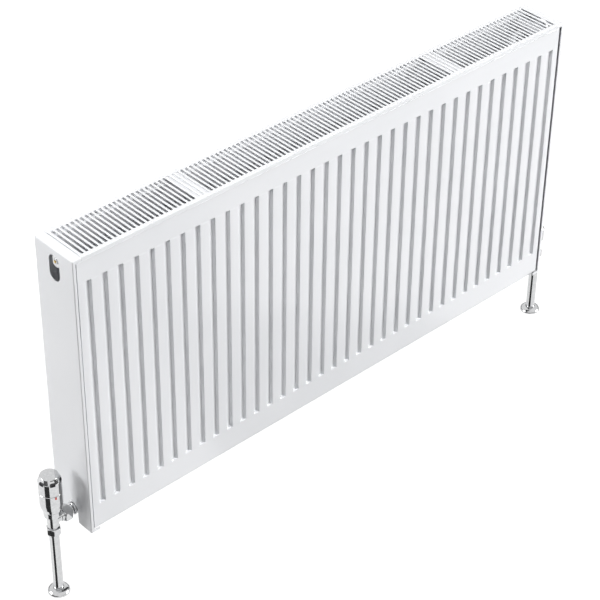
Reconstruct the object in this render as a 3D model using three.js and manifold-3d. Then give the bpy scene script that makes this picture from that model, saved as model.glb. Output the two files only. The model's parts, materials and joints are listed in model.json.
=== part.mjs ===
// A steel double-panel, double-convector radiator, hung on two wall brackets and fed by two pipes
// from the floor: a thermostatic valve at its left end and a lockshield valve at its right end.
// Millimetres, +Z up, +X to the right as seen from the room, +Y towards the wall. The origin is on
// the floor, midway along the radiator and midway between its front and the wall.
import * as THREE from "three";
import { mergeVertices } from "three/addons/utils/BufferGeometryUtils.js";
import Module from "manifold-3d";

const wasm = await Module();
wasm.setup();

// ---- driving dimensions ------------------------------------------------------------------------

const LENGTH = 1200; // over the side panels
const HEIGHT = 600; // side panels, bottom edge to top face
const DEPTH = 103; // side panels, front lip to back lip
const FLOOR_CLEARANCE = 150; // floor to the radiator's bottom edge
const WALL_GAP = 36; // wall to the radiator's back
const SEAT = 0.3; // clearance where one piece rests on or fits round another

const SHEET = 1.2; // gauge of the pressed water sheets
const PRESS_DEPTH = 5; // how far a water sheet is pressed out from its weld plane
const PANEL_SETBACK = 2; // the water panel's face behind the side panel's lip
const TOP_SHOULDER = 10; // top face down to the water panel's flat front
const BOTTOM_RISE = 8; // bottom edge up to the water panel's flat front
const SHOULDER = 4; // width of the sloped edge round a water sheet
const RECESS_PITCH = 33.5;
const RECESS_RIM = 14; // width of a recess at the face
const RECESS_FLOOR = 8.4; // width of a recess at its welded floor
const RECESS_MARGIN = 30; // least distance from the radiator's end to a recess's middle
const RECESS_TOP = 52; // top face down to the recesses
const RECESS_BOTTOM = 57; // bottom edge up to the recesses
const RECESS_END_SLOPE = 6;

const CONVECTOR_SHEET = 0.5;
const AIR_GAP = 11; // between the two convectors
const FIN_LAND = 12; // flat crest of one convector fold
const FIN_LEAN = 2; // how far a fin leans over its depth
const FIRST_LAND = 1; // waterways left bare at each end

const COVER = 1; // gauge of the grille and the side panels
const LIP = 6; // side panel's lips, front and back
const SIDE_GAP = 3.5; // side panel's lip to the water panel's face
const TOP_RETURN = 19; // side panel's top, outer face to its inner edge
const SKIRT = 6.5; // turned-down edge of the grille and the top returns
const TAB = 14; // extra width of the lip's foot under the water panel
const TAB_HEIGHT = 5;
const FLANGE_GAP = 1.5; // side plate to the water sheets' welded edge

const SLOT_PITCH = 9.9;
const SLOT_WIDTH = 5;
const SLOT_END = 9; // front or back edge to the slots' ends
const GRILLE_RIM = 4.2; // solid edge beyond the first and the last slot
const LEFT_SEAM = 1; // open line between the left return and the grille
const RIGHT_SEAM = 5;
const RIM_GAP = 0.4; // grille's corners to the side panels' returns
const STRAP_WIDTH = 28;
const STRAP_SHEET = 1.5;
const STRAP_SPACING = 624; // between the two straps' middles

const TAPPING = 27; // tapping axis from the top face, and from the bottom edge
const HOLE_MARGIN = 0.5; // side panel's vent opening and valve notch, beyond the tees
const LIFT = 24; // length of the vent opening's straight sides, and the side panel's lift
const TEE_WALL = 3.1; // round the tee's thread
const TEE_INSET = 28; // tee's cross axis from the radiator's end
const TEE_FACE = 9; // tee's threaded face from the radiator's end
const THREAD_BORE = 10.4;
const THREAD_DEPTH = 14;
const PORT_RADIUS = 7.5; // waterway between a tee and a water panel

const WASHER = 1.5;
const WASHER_MARGIN = 1; // washer's rim inside the tee's
const FLANGE = 3; // thickness of a plug's flange
const FLANGE_MARGIN = 0.5;
const FLANGE_CHAMFER = [1.5, 1]; // across the face, along the rim
const VENT_BOSS = [5.5, 1.5]; // radius and height
const VENT_BORE = 3.3;
const SCREW_PROUD = 0.5; // bleed screw's shoulder past the plug's flange
const SCREW_SQUARE = 3.8; // across flats
const SCREW_SQUARE_LENGTH = 2.8;
const DRIVE_FLATS = 10; // hexagon socket in the blanking plug
const DRIVE_DEPTH = 2;

const LUG_RIDGE = 12.5; // lugs and brackets stand this many pitches from the middle
const LUG_INSET = 100; // lug's bridge from the top face, and from the bottom edge
const LUG_WIDTH = 18;
const LUG_SHEET = 2;
const LUG_PLATE = 40;
const LUG_TONGUE = 14;
const SADDLE_WALL = 3;
const SADDLE_WIDTH = 16;
const SADDLE_HEIGHT = 34;
const SADDLE_GRIP = 7; // how far a saddle straddles its bracket's web
const BRACKET_SHEET = 2;
const BRACKET_WIDTH = 34;
const BRACKET_OVERHANG = 40; // bracket beyond the lugs, up and down
const FIXING_RADIUS = 3.5;
const FIXING_OFFSET = 9; // fixing hole from the bracket's web
const FIXING_INSET = 20; // fixing hole from the bracket's end

const VALVE_OFFSET = 46; // valve axis from the radiator's end
const PIPE_RADIUS = 7.5;
const PIPE_WALL = 0.8;
const SLEEVE_WALL = 1.7;
const COLLAR_RADIUS = 21;
const COLLAR_HEIGHT = 9;

// Heights in a valve are from its tapping axis, and distances along its branch from its own axis.
const SOCKET_WALL = 2.2; // round the pipe, inside the compression nut
const BODY_WALL = 1; // a body's trunk beyond its threaded ends
const BODY_BOTTOM = -24;
const BODY_THREAD_TOP = -14;
const BODY_SHOULDER = 10; // top of the trunk, where the neck starts
const BODY_CHAMFER = 2;
const TRV_NECK = 13; // radius
const TRV_BODY_TOP = 24;
const LOCK_BODY_TOP = 18;
const SOCKET_TOP = -9; // end of the pipe's socket
const SEAT_LEVEL = -6; // valve seat
const SEAT_BORE = 5;
const CHAMBER = 8.2; // radius
const CHAMBER_WALL = 2.8;
const BRANCH_BORE = 6.5;
const BRANCH_WALL = 3;
const BRANCH_THREAD = 11;
const BRANCH_THREAD_START = 15;
const BRANCH_END = 26.5;
const UNION_START = 20;
const UNION_END = 35;
const UNION_WALL = 2.7; // nut's flats beyond its thread
const TAIL_FLANGE = 5; // length of the tail's flange inside the union nut
const TAIL_WALL = 2.5;
const TAIL_COLLAR_MARGIN = 1; // tail's collar inside the tee's rim
const TAIL_COLLAR_START = 41;
const NUT_TOP = -17;
const NUT_BOTTOM = -31;
const NUT_FOOT = -36; // foot of the round ring under the nut's flats
const NUT_WALL = 1.7; // compression nut's flats beyond its thread
const NUT_FOOT_STEP = 1; // round ring inside the nut's flats
const OLIVE = 3.3; // length of the compression ring

const HEAD_RADIUS = 21.5;
const HEAD_WALL = 3;
const HEAD_BOTTOM = 27;
const HEAD_SPLIT = 71;
const HEAD_TOP = 108;
const HEAD_BEVEL = [5, 10]; // across the cap's top, down its side
const HEAD_FOOT_STEP = 4; // sleeve's foot inside its full radius
const HEAD_FLARE = 18; // height over which the foot widens
const HEAD_CROWN = 4; // thickness of the cap's top
const CAP_SPIGOT = 5; // how deep the cap stands in the sleeve
const CAP_GUIDE_START = 4; // cap's guide tube above the split
const CAP_SKIN = 1.5; // wall of the cap's spigot and guide tube
const INDENTS = 6;
const INDENT_PHASE = 10; // degrees from +X
const INDENT_DEPTH = 2.2;
const INDENT_WIDTH = 10;
const INDENT_SPAN = [4, 13]; // down from the cap's top
const MARKER_ANGLE = 260; // degrees from +X
const MARKER_WIDTH = 3.2;
const MARKER_SPAN = [1.2, 6]; // down from the split
const MARKER_PROUD = 0.6;
const RING_RADIUS = 16;
const RING_EDGE = 1.5;
const CAPSULE_RADIUS = 13;
const CAPSULE_BOTTOM = 52;
const CAPSULE_TOP = 99;
const CAPSULE_NOSE = [4, 6]; // radius and height of the nose that meets the pin
const CAPSULE_FLARE = 3;
const INSERT_LOW = 8;
const INSERT_RIM = 1.5; // insert's rim beyond the chamber
const PIN_RADIUS = 2;
const PIN_TRAVEL = 1.5; // up and down from rest
const DISC = 2.7; // thickness of the pin's disc
const DISC_MARGIN = 1.5; // disc's rim to the chamber's wall
const PIN_COLLAR = [3, 2]; // how far it stands out, and its thickness
const SPRING_TOP = 41;
const SPRING_WIRE = 0.5; // radius
const SPRING_TURNS = 4;
const SPRING_GAP = 1.6; // wire's middle to the pin

const CAP_RADIUS = 14.5; // lockshield cap
const CAP_TOP = 44;
const CAP_CROWN = 4;
const CAP_WALL = 3;
const CAP_BEVEL = [3, 4];
const PLUG_LIP = 1; // lockshield plug beyond the seat's bore
const PLUG_HEIGHT = 4;
const SPINDLE_RADIUS = 3;
const GLAND_LOW = 8;
const GLAND_NECK = [4, 6]; // radius, and height above the body
const KEY_SQUARE = 5; // across flats
const KEY_LENGTH = 10;

const DOME = [
  [0, 0.17],
  [2, 0.45],
  [6, 0.85],
]; // floor collar: in from its rim, and share of its height
const DOME_LIP = 1.5; // flat ring round the collar's bore

const ROUND = 16; // sides of a turned piece
const SMALL_ROUND = 12;
const HOLE_ROUND = 8; // segments in half an opening's end
const PAST = 1; // how far a cutting tool runs past the face it cuts

// ---- derived places ----------------------------------------------------------------------------

const FRONT_Y = -(DEPTH + WALL_GAP) / 2;
const BACK_Y = FRONT_Y + DEPTH;
const WALL_Y = BACK_Y + WALL_GAP;
const MID_Y = FRONT_Y + DEPTH / 2;
const END_X = LENGTH / 2;
const BOTTOM_Z = FLOOR_CLEARANCE;
const TOP_Z = BOTTOM_Z + HEIGHT;
const LOW_TAPPING_Z = BOTTOM_Z + TAPPING;
const HIGH_TAPPING_Z = TOP_Z - TAPPING;
const UNDER_COVER_Z = TOP_Z - COVER - SEAT;

// A water panel is two pressed sheets back to back. Its weld plane, measured in from the front.
const WELD_INSET = PANEL_SETBACK + SHEET + PRESS_DEPTH + SEAT / 2;
const PANEL_INNER = WELD_INSET + SEAT / 2 + PRESS_DEPTH + SHEET;
const CORE_FRONT_Y = FRONT_Y + PANEL_INNER;
const CORE_BACK_Y = BACK_Y - PANEL_INNER;
const CORE_DEPTH = CORE_BACK_Y - CORE_FRONT_Y;
const CONVECTOR_DEPTH = (CORE_DEPTH - AIR_GAP) / 2 - SEAT;
const REAR_FACE_Y = BACK_Y - PANEL_SETBACK;

const RECESS_COUNT = Math.floor((LENGTH - 2 * RECESS_MARGIN) / RECESS_PITCH) + 1;
const GRILLE_LEFT = -END_X + TOP_RETURN + LEFT_SEAM;
const GRILLE_RIGHT = END_X - TOP_RETURN - RIGHT_SEAM;
const SLOT_RUN = GRILLE_RIGHT - GRILLE_LEFT - 2 * GRILLE_RIM - SLOT_WIDTH;
const SLOT_COUNT = Math.floor(SLOT_RUN / SLOT_PITCH) + 1;

const TEE_RADIUS = THREAD_BORE + TEE_WALL;
const HOLE_RADIUS = TEE_RADIUS + HOLE_MARGIN;
const PIPE_CLEAR = PIPE_RADIUS + SEAT;
const PIPE_TOP_Z = LOW_TAPPING_Z + SOCKET_TOP - SEAT;
const SLEEVE_RADIUS = PIPE_CLEAR + SLEEVE_WALL;
const SLEEVE_TOP_Z = LOW_TAPPING_Z + NUT_FOOT - SEAT;
const BODY_THREAD = PIPE_CLEAR + SOCKET_WALL;
const BODY_RADIUS = Math.max(BODY_THREAD + BODY_WALL, CHAMBER + CHAMBER_WALL);
const HEAD_BORE = HEAD_RADIUS - HEAD_WALL;
const HEAD_FOOT_RADIUS = HEAD_RADIUS - HEAD_FOOT_STEP;
const PLUG_FLANGE = SEAT + WASHER + SEAT; // underside of a plug's flange, from the tee's face
const PLUG_FACE = PLUG_FLANGE + FLANGE;

// The largest faceted piece that turns freely in a faceted bore, and the other way round.
const FACET = Math.cos(Math.PI / ROUND);
const turnsIn = (bore) => bore * FACET - SEAT;
const turnsRound = (radius) => (radius + SEAT) / FACET;
const CAPSULE_GUIDE = turnsRound(CAPSULE_RADIUS);

// ---- materials ---------------------------------------------------------------------------------

const material = (color, roughness, metalness) =>
  new THREE.MeshStandardMaterial({ color, roughness, metalness });

const finishes = {
  whitePaint: () => material(0xf4f5f6, 0.35, 0),
  chrome: () => material(0xd8dadc, 0.08, 1),
  steel: () => material(0x9a9da0, 0.4, 1),
  zincPlate: () => material(0xb9bcc0, 0.45, 1),
  brass: () => material(0xc9a550, 0.3, 1),
  copper: () => material(0xc07a50, 0.3, 1),
  rubber: () => material(0x1c1c1e, 0.7, 0),
  greyPlastic: () => material(0xb4b6b8, 0.5, 0),
  redPlastic: () => material(0xb8322c, 0.4, 0),
};

// ---- geometry helpers --------------------------------------------------------------------------

const radians = THREE.MathUtils.degToRad;

function solid(geometry) {
  const bare = geometry.clone();
  bare.deleteAttribute("normal");
  bare.deleteAttribute("uv");
  const merged = mergeVertices(bare, 1e-4);
  return new wasm.Manifold(
    new wasm.Mesh({
      numProp: 3,
      vertProperties: new Float32Array(merged.attributes.position.array),
      triVerts: new Uint32Array(merged.index.array),
    }),
  );
}

function geometryOf(manifold) {
  const mesh = manifold.getMesh();
  return new THREE.BufferGeometry()
    .setAttribute("position", new THREE.BufferAttribute(mesh.vertProperties, 3))
    .setIndex(new THREE.BufferAttribute(mesh.triVerts, 1));
}

const join = (...pieces) =>
  geometryOf(pieces.map(solid).reduce((whole, piece) => whole.add(piece)));

const cut = (piece, ...tools) =>
  geometryOf(tools.map(solid).reduce((left, tool) => left.subtract(tool), solid(piece)));

const box = ([x0, x1], [y0, y1], [z0, z1]) =>
  new THREE.BoxGeometry(x1 - x0, y1 - y0, z1 - z0).translate(
    (x0 + x1) / 2,
    (y0 + y1) / 2,
    (z0 + z1) / 2,
  );

const points = (pairs) => pairs.map(([a, b]) => new THREE.Vector2(a, b));

// Turned about Z. The profile is [radius, height] pairs, going round the section anticlockwise.
const turned = (profile, sides = ROUND) =>
  new THREE.LatheGeometry(points(profile), sides).rotateX(Math.PI / 2);

// Turned about X, with heights measured along +X.
const turnedAlongX = (profile, sides = ROUND) => turned(profile, sides).rotateY(Math.PI / 2);

const ring = (inner, outer, low, high) => [
  [inner, low],
  [outer, low],
  [outer, high],
  [inner, high],
  [inner, low],
];

const rod = (radius, low, high) => [
  [0, low],
  [radius, low],
  [radius, high],
  [0, high],
];

const extruded = (shape, depth, curveSegments = 6) =>
  new THREE.ExtrudeGeometry(shape, { depth, curveSegments, bevelEnabled: false });

// A shape drawn in X and Y, standing from one height to another.
const extrudedAlongZ = (shape, [z0, z1]) => extruded(shape, z1 - z0).translate(0, 0, z0);

// A shape drawn in Y and Z, running from one X to another.
const extrudedAlongX = (shape, [x0, x1], curveSegments) =>
  extruded(shape, x1 - x0, curveSegments)
    .applyMatrix4(
      new THREE.Matrix4().makeBasis(
        new THREE.Vector3(0, 1, 0),
        new THREE.Vector3(0, 0, 1),
        new THREE.Vector3(1, 0, 0),
      ),
    )
    .translate(x0, 0, 0);

// A shape drawn in X and Z, running from one Y to another.
const extrudedAlongY = (shape, [y0, y1], curveSegments) =>
  extruded(shape, y1 - y0, curveSegments).rotateX(Math.PI / 2).translate(0, y1, 0);

const outline = (pairs) => new THREE.Shape(points(pairs));

function hexagon(acrossFlats) {
  const corner = acrossFlats / Math.sqrt(3);
  const at = (i) => [corner * Math.cos((i * Math.PI) / 3), corner * Math.sin((i * Math.PI) / 3)];
  return outline([0, 1, 2, 3, 4, 5].map(at));
}

function named(name, geometry, finish) {
  const mesh = new THREE.Mesh(geometry, finishes[finish]());
  mesh.name = name;
  return mesh;
}

// ---- water panels ------------------------------------------------------------------------------

const rectangle = (halfWidth, z0, z1, x = 0) =>
  points([
    [x - halfWidth, z0],
    [x + halfWidth, z0],
    [x + halfWidth, z1],
    [x - halfWidth, z1],
  ]);

const recessX = (i) => (i - (RECESS_COUNT - 1) / 2) * RECESS_PITCH;

function recessAt(i) {
  const z0 = BOTTOM_Z + RECESS_BOTTOM;
  const z1 = TOP_Z - RECESS_TOP;
  return {
    rim: rectangle(RECESS_RIM / 2, z0, z1, recessX(i)),
    floor: rectangle(RECESS_FLOOR / 2, z0 + RECESS_END_SLOPE, z1 - RECESS_END_SLOPE, recessX(i)),
  };
}

// A flat band between a straight edge and a run of points along its far side, which goes round
// anticlockwise from the edge's second corner back to its first.
function band([first, second], run) {
  const middle = Math.floor(run.length / 2);
  const triangles = [[first, second, run[middle]]];
  for (let i = 0; i < run.length - 1; i++) {
    triangles.push([i < middle ? second : first, run[i], run[i + 1]]);
  }
  return triangles;
}

// The pressed skin as triangles of [point, level], anticlockwise seen from -Y. Level 0 is the
// welded edge and the recesses' floors, and PRESS_DEPTH is the face.
function pressedSkin() {
  const skin = [];
  const flat = (triangles, level) =>
    skin.push(...triangles.map((triangle) => triangle.map((point) => [point, level])));
  const quad = (a, b, c, d) => [
    [a, b, c],
    [a, c, d],
  ];
  const slope = (outer, outerLevel, inner, innerLevel) => {
    outer.forEach((corner, i) => {
      const j = (i + 1) % outer.length;
      const far = [inner[j], innerLevel];
      skin.push([[corner, outerLevel], [outer[j], outerLevel], far]);
      skin.push([[corner, outerLevel], far, [inner[i], innerLevel]]);
    });
  };
  const faceX = END_X - LIP - SIDE_GAP;
  const faceLow = BOTTOM_Z + BOTTOM_RISE;
  const faceHigh = TOP_Z - TOP_SHOULDER;
  const face = rectangle(faceX, faceLow, faceHigh);
  const foot = rectangle(faceX + SHOULDER, faceLow - SHOULDER, faceHigh + SHOULDER);
  const edge = rectangle(END_X - COVER - FLANGE_GAP, BOTTOM_Z + SEAT, UNDER_COVER_Z);
  slope(edge, 0, foot, 0);
  slope(foot, 0, face, PRESS_DEPTH);

  const recesses = Array.from({ length: RECESS_COUNT }, (_, i) => recessAt(i));
  const rims = recesses.map((recess) => recess.rim);
  const lowRun = rims.flatMap(([lowLeft, lowRight]) => [lowLeft, lowRight]).reverse();
  const highRun = rims.flatMap(([, , highRight, highLeft]) => [highLeft, highRight]);
  const [faceLowLeft, faceLowRight, faceHighRight, faceHighLeft] = face;
  flat(band([faceLowLeft, faceLowRight], lowRun), PRESS_DEPTH);
  flat(band([faceHighRight, faceHighLeft], highRun), PRESS_DEPTH);
  const [first, last] = [rims[0], rims[rims.length - 1]];
  flat(quad(faceLowLeft, first[0], first[3], faceHighLeft), PRESS_DEPTH);
  flat(quad(last[1], faceLowRight, faceHighRight, last[2]), PRESS_DEPTH);
  rims.slice(1).forEach((rim, i) => {
    flat(quad(rims[i][1], rim[0], rim[3], rims[i][2]), PRESS_DEPTH);
  });
  for (const { rim, floor } of recesses) {
    slope(rim, PRESS_DEPTH, floor, 0);
    flat(quad(...floor), 0);
  }
  return { skin, edge };
}

// One pressed sheet, bulging away from its weld plane towards -Y (outward -1) or +Y (outward 1).
function waterSheet(weldY, outward) {
  const { skin, edge } = pressedSkin();
  const inner = ([point, level]) => [point.x, weldY + outward * (SEAT / 2 + level), point.y];
  const outer = ([point, level]) => inner([point, level + SHEET]);
  const facing = (triangle, towardsMinusY) => (towardsMinusY ? triangle : [...triangle].reverse());
  const vertices = [];
  for (const triangle of skin) {
    vertices.push(...facing(triangle, outward < 0).map(outer));
    vertices.push(...facing(triangle, outward > 0).map(inner));
  }
  edge.forEach((point, i) => {
    const a = [point, 0];
    const b = [edge[(i + 1) % edge.length], 0];
    const wall = [inner(a), inner(b), outer(b), inner(a), outer(b), outer(a)];
    vertices.push(...(outward < 0 ? wall : wall.reverse()));
  });
  return new THREE.BufferGeometry().setAttribute(
    "position",
    new THREE.BufferAttribute(new Float32Array(vertices.flat()), 3),
  );
}

const teeX = END_X - TEE_INSET;
const corners = [
  ["top_left", -1, HIGH_TAPPING_Z],
  ["top_right", 1, HIGH_TAPPING_Z],
  ["bottom_left", -1, LOW_TAPPING_Z],
  ["bottom_right", 1, LOW_TAPPING_Z],
];

// The sheet that faces the convectors, with a round port for each tee.
function portedSheet(weldY, outward) {
  const port = ([, side, z]) =>
    turned(rod(PORT_RADIUS, -SHEET - PAST, SHEET + PAST), SMALL_ROUND)
      .rotateX(Math.PI / 2)
      .translate(side * teeX, weldY + outward * PRESS_DEPTH, z);
  return cut(waterSheet(weldY, outward), ...corners.map(port));
}

function waterPanels() {
  const frontWeld = FRONT_Y + WELD_INSET;
  const rearWeld = BACK_Y - WELD_INSET;
  return [
    named("front_panel_outer_sheet", waterSheet(frontWeld, -1), "whitePaint"),
    named("front_panel_inner_sheet", portedSheet(frontWeld, 1), "whitePaint"),
    named("rear_panel_inner_sheet", portedSheet(rearWeld, -1), "whitePaint"),
    named("rear_panel_outer_sheet", waterSheet(rearWeld, 1), "whitePaint"),
  ];
}

// ---- convectors --------------------------------------------------------------------------------

// A folded sheet whose crests sit on the water panel's ridges, drawn in X and Y. It rises from
// rootY, on the panel, to rootY + rise.
function convector(rootY, rise) {
  const half = CONVECTOR_SHEET / 2;
  const lands = RECESS_COUNT - 1 - 2 * FIRST_LAND;
  const landX = (i) => (i - (lands - 1) / 2) * RECESS_PITCH;
  const crestX = (i) => landX(i) + RECESS_PITCH / 2;
  const halfFar = RECESS_PITCH / 2 - FIN_LAND / 2 - FIN_LEAN;
  const step = Math.sign(rise) * CONVECTOR_SHEET;
  const panelSide = [];
  const airSide = [];
  for (let i = 0; i < lands; i++) {
    const x0 = landX(i) - FIN_LAND / 2;
    const x1 = landX(i) + FIN_LAND / 2;
    panelSide.push([x0 - half, rootY], [x1 + half, rootY]);
    airSide.push([x0 + half, rootY + step], [x1 - half, rootY + step]);
    if (i === lands - 1) break;
    const c0 = crestX(i) - halfFar;
    const c1 = crestX(i) + halfFar;
    panelSide.push([c0 + half, rootY + rise - step], [c1 - half, rootY + rise - step]);
    airSide.push([c0 - half, rootY + rise], [c1 + half, rootY + rise]);
  }
  const section = outline([...panelSide, ...airSide.reverse()]);
  return extrudedAlongZ(section, [BOTTOM_Z + RECESS_BOTTOM, TOP_Z - RECESS_TOP]);
}

function convectors() {
  const front = convector(CORE_FRONT_Y + SEAT, CONVECTOR_DEPTH);
  const rear = convector(CORE_BACK_Y - SEAT, -CONVECTOR_DEPTH);
  return [
    named("front_convector", front, "whitePaint"),
    named("rear_convector", rear, "whitePaint"),
  ];
}

// ---- tees and plugs ----------------------------------------------------------------------------

// A tee joins the two water panels and holds a threaded bore that faces out along X.
function tee(side, z) {
  const length = CORE_DEPTH - 2 * SEAT;
  const across = (profile, sides) => turned(profile, sides).rotateX(Math.PI / 2);
  const arm = TEE_INSET - TEE_FACE;
  const barrel = across(rod(TEE_RADIUS, -length / 2, length / 2), ROUND);
  const boss = turnedAlongX(rod(TEE_RADIUS, 0, arm));
  const waterway = across(rod(PORT_RADIUS, -length, length), SMALL_ROUND);
  const thread = turnedAlongX(rod(THREAD_BORE, arm - THREAD_DEPTH, arm + PAST));
  const passage = turnedAlongX(rod(PORT_RADIUS, 0, arm), SMALL_ROUND);
  const whole = cut(join(barrel, boss), waterway, thread, passage);
  return whole.rotateZ(side < 0 ? Math.PI : 0).translate(side * teeX, MID_Y, z);
}

const tees = () =>
  corners.map(([name, side, z]) => named(`${name}_tee`, tee(side, z), "whitePaint"));

// Plugs, washers and valve tails screw into a tee from outside. Distances run out from its face.
const outFromTee = (side, z, ...pieces) => {
  const group = new THREE.Group();
  group.position.set(side * (END_X - TEE_FACE), MID_Y, z);
  group.scale.x = side;
  group.add(...pieces);
  return group;
};

const flangeRadius = TEE_RADIUS - FLANGE_MARGIN;
const plugBody = [
  [0, SEAT - THREAD_DEPTH],
  [THREAD_BORE - SEAT, SEAT - THREAD_DEPTH],
  [THREAD_BORE - SEAT, PLUG_FLANGE],
  [flangeRadius, PLUG_FLANGE],
  [flangeRadius, PLUG_FACE - FLANGE_CHAMFER[1]],
  [flangeRadius - FLANGE_CHAMFER[0], PLUG_FACE],
];

const washer = () =>
  turnedAlongX(ring(THREAD_BORE, TEE_RADIUS - WASHER_MARGIN, SEAT, SEAT + WASHER));

const VENT_BORE_FLOOR = SEAT - THREAD_DEPTH / 2;

function ventPlug() {
  const [radius, height] = VENT_BOSS;
  const boss = PLUG_FACE + height;
  const body = turnedAlongX([...plugBody, [radius, PLUG_FACE], [radius, boss], [0, boss]]);
  const bore = turnedAlongX(rod(VENT_BORE, VENT_BORE_FLOOR, boss + PAST), SMALL_ROUND);
  return cut(body, bore);
}

// The bleed screw sits in the vent plug and is turned by a square key.
function bleedScrew() {
  const stem = rod(VENT_BORE - SEAT, VENT_BORE_FLOOR + SEAT, PLUG_FACE + SCREW_PROUD);
  const flats = [-SCREW_SQUARE / 2, SCREW_SQUARE / 2];
  const square = box([PLUG_FACE, PLUG_FACE + SCREW_SQUARE_LENGTH], flats, flats);
  return join(turnedAlongX(stem, SMALL_ROUND), square);
}

function blankingPlug() {
  const body = turnedAlongX([...plugBody, [0, PLUG_FACE]]);
  const drive = extrudedAlongZ(hexagon(DRIVE_FLATS), [PLUG_FACE - DRIVE_DEPTH, PLUG_FACE + PAST]);
  return cut(body, drive.rotateY(Math.PI / 2));
}

function plugs() {
  return [
    outFromTee(
      -1,
      HIGH_TAPPING_Z,
      named("air_vent_plug", ventPlug(), "chrome"),
      named("air_vent_washer", washer(), "rubber"),
      named("bleed_screw", bleedScrew(), "brass"),
    ),
    outFromTee(
      1,
      HIGH_TAPPING_Z,
      named("blanking_plug", blankingPlug(), "chrome"),
      named("blanking_plug_washer", washer(), "rubber"),
    ),
  ];
}

// ---- covers ------------------------------------------------------------------------------------

// The plate of a side panel, drawn in Y and Z: a long vent opening above and a notch below.
function sidePlate() {
  const plate = new THREE.Shape();
  plate.moveTo(FRONT_Y, BOTTOM_Z);
  plate.lineTo(MID_Y - HOLE_RADIUS, BOTTOM_Z);
  plate.absarc(MID_Y, LOW_TAPPING_Z, HOLE_RADIUS, Math.PI, 0, true);
  plate.lineTo(MID_Y + HOLE_RADIUS, BOTTOM_Z);
  plate.lineTo(BACK_Y, BOTTOM_Z);
  plate.lineTo(BACK_Y, TOP_Z);
  plate.lineTo(FRONT_Y, TOP_Z);
  plate.closePath();
  const vent = new THREE.Path();
  vent.absarc(MID_Y, HIGH_TAPPING_Z, HOLE_RADIUS, 0, Math.PI);
  vent.absarc(MID_Y, HIGH_TAPPING_Z - LIFT, HOLE_RADIUS, Math.PI, 2 * Math.PI);
  vent.closePath();
  plate.holes.push(vent);
  return extrudedAlongX(plate, [0, COVER], HOLE_ROUND);
}

// A side panel in its own frame: X runs inwards from its outer face.
function sidePanel() {
  const frontEdge = [FRONT_Y, FRONT_Y + COVER];
  const backEdge = [BACK_Y - COVER, BACK_Y];
  const height = [BOTTOM_Z, TOP_Z];
  return join(
    sidePlate(),
    box([0, LIP], frontEdge, height),
    box([0, LIP], backEdge, height),
    box([0, TOP_RETURN], [FRONT_Y, BACK_Y], [TOP_Z - COVER, TOP_Z]),
    box([0, TOP_RETURN], frontEdge, [TOP_Z - SKIRT, TOP_Z]),
    box([0, TOP_RETURN], backEdge, [TOP_Z - SKIRT, TOP_Z]),
    box([0, LIP + TAB], frontEdge, [BOTTOM_Z, BOTTOM_Z + TAB_HEIGHT]),
  );
}

function sidePanels() {
  return ["left", "right"].map((name) => {
    const side = name === "left" ? 1 : -1;
    const panel = named(`${name}_side_panel`, sidePanel(), "whitePaint");
    panel.position.x = -side * END_X;
    panel.scale.x = side;
    return panel;
  });
}

const slotX = (i) => (GRILLE_LEFT + GRILLE_RIGHT) / 2 + (i - (SLOT_COUNT - 1) / 2) * SLOT_PITCH;

// The grille lies between the side panels' returns. Its ends step back between its corners, so
// that an open line shows at each end.
function grille() {
  const rimLeft = -END_X + TOP_RETURN + RIM_GAP;
  const rimRight = END_X - TOP_RETURN - RIM_GAP;
  const slotFront = FRONT_Y + SLOT_END;
  const slotBack = BACK_Y - SLOT_END;
  const plate = outline([
    [rimLeft, FRONT_Y],
    [rimRight, FRONT_Y],
    [rimRight, slotFront],
    [GRILLE_RIGHT, slotFront],
    [GRILLE_RIGHT, slotBack],
    [rimRight, slotBack],
    [rimRight, BACK_Y],
    [rimLeft, BACK_Y],
    [rimLeft, slotBack],
    [GRILLE_LEFT, slotBack],
    [GRILLE_LEFT, slotFront],
    [rimLeft, slotFront],
  ]);
  const slot = (i) =>
    box(
      [slotX(i) - SLOT_WIDTH / 2, slotX(i) + SLOT_WIDTH / 2],
      [slotFront, slotBack],
      [TOP_Z - 2 * COVER, TOP_Z + COVER],
    );
  const width = [rimLeft, rimRight];
  const skirt = [TOP_Z - SKIRT, TOP_Z - COVER / 2];
  const slots = Array.from({ length: SLOT_COUNT }, (_, i) => slot(i));
  return join(
    cut(extrudedAlongZ(plate, [TOP_Z - COVER, TOP_Z]), ...slots),
    box(width, [FRONT_Y, FRONT_Y + COVER], skirt),
    box(width, [BACK_Y - COVER, BACK_Y], skirt),
  );
}

// A strap joins the tops of the two panels under the grille and carries it.
function strap(x) {
  const reach = WELD_INSET + SEAT / 2 + SHEET + SEAT;
  const front = FRONT_Y + reach;
  const back = BACK_Y - reach;
  const foot = TOP_Z - TOP_SHOULDER + SHOULDER + SEAT;
  const profile = outline([
    [front, foot],
    [front + STRAP_SHEET, foot],
    [front + STRAP_SHEET, UNDER_COVER_Z - STRAP_SHEET],
    [back - STRAP_SHEET, UNDER_COVER_Z - STRAP_SHEET],
    [back - STRAP_SHEET, foot],
    [back, foot],
    [back, UNDER_COVER_Z],
    [front, UNDER_COVER_Z],
  ]);
  return extrudedAlongX(profile, [x - STRAP_WIDTH / 2, x + STRAP_WIDTH / 2]);
}

function covers() {
  return [
    named("top_grille", grille(), "whitePaint"),
    named("left_grille_strap", strap(-STRAP_SPACING / 2), "whitePaint"),
    named("right_grille_strap", strap(STRAP_SPACING / 2), "whitePaint"),
    ...sidePanels(),
  ];
}

// ---- wall fixings ------------------------------------------------------------------------------

// Distances in a lug and its saddle run back from the rear panel, in Y.
const lugFront = REAR_FACE_Y + SEAT;
const lugBack = lugFront + LUG_SHEET;
const saddleFront = lugBack + SEAT;
const tongueFront = saddleFront + SADDLE_WALL + SEAT;
const tongueBack = tongueFront + LUG_SHEET;
const webFront = tongueBack + SEAT + SADDLE_WALL + SEAT;

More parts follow.
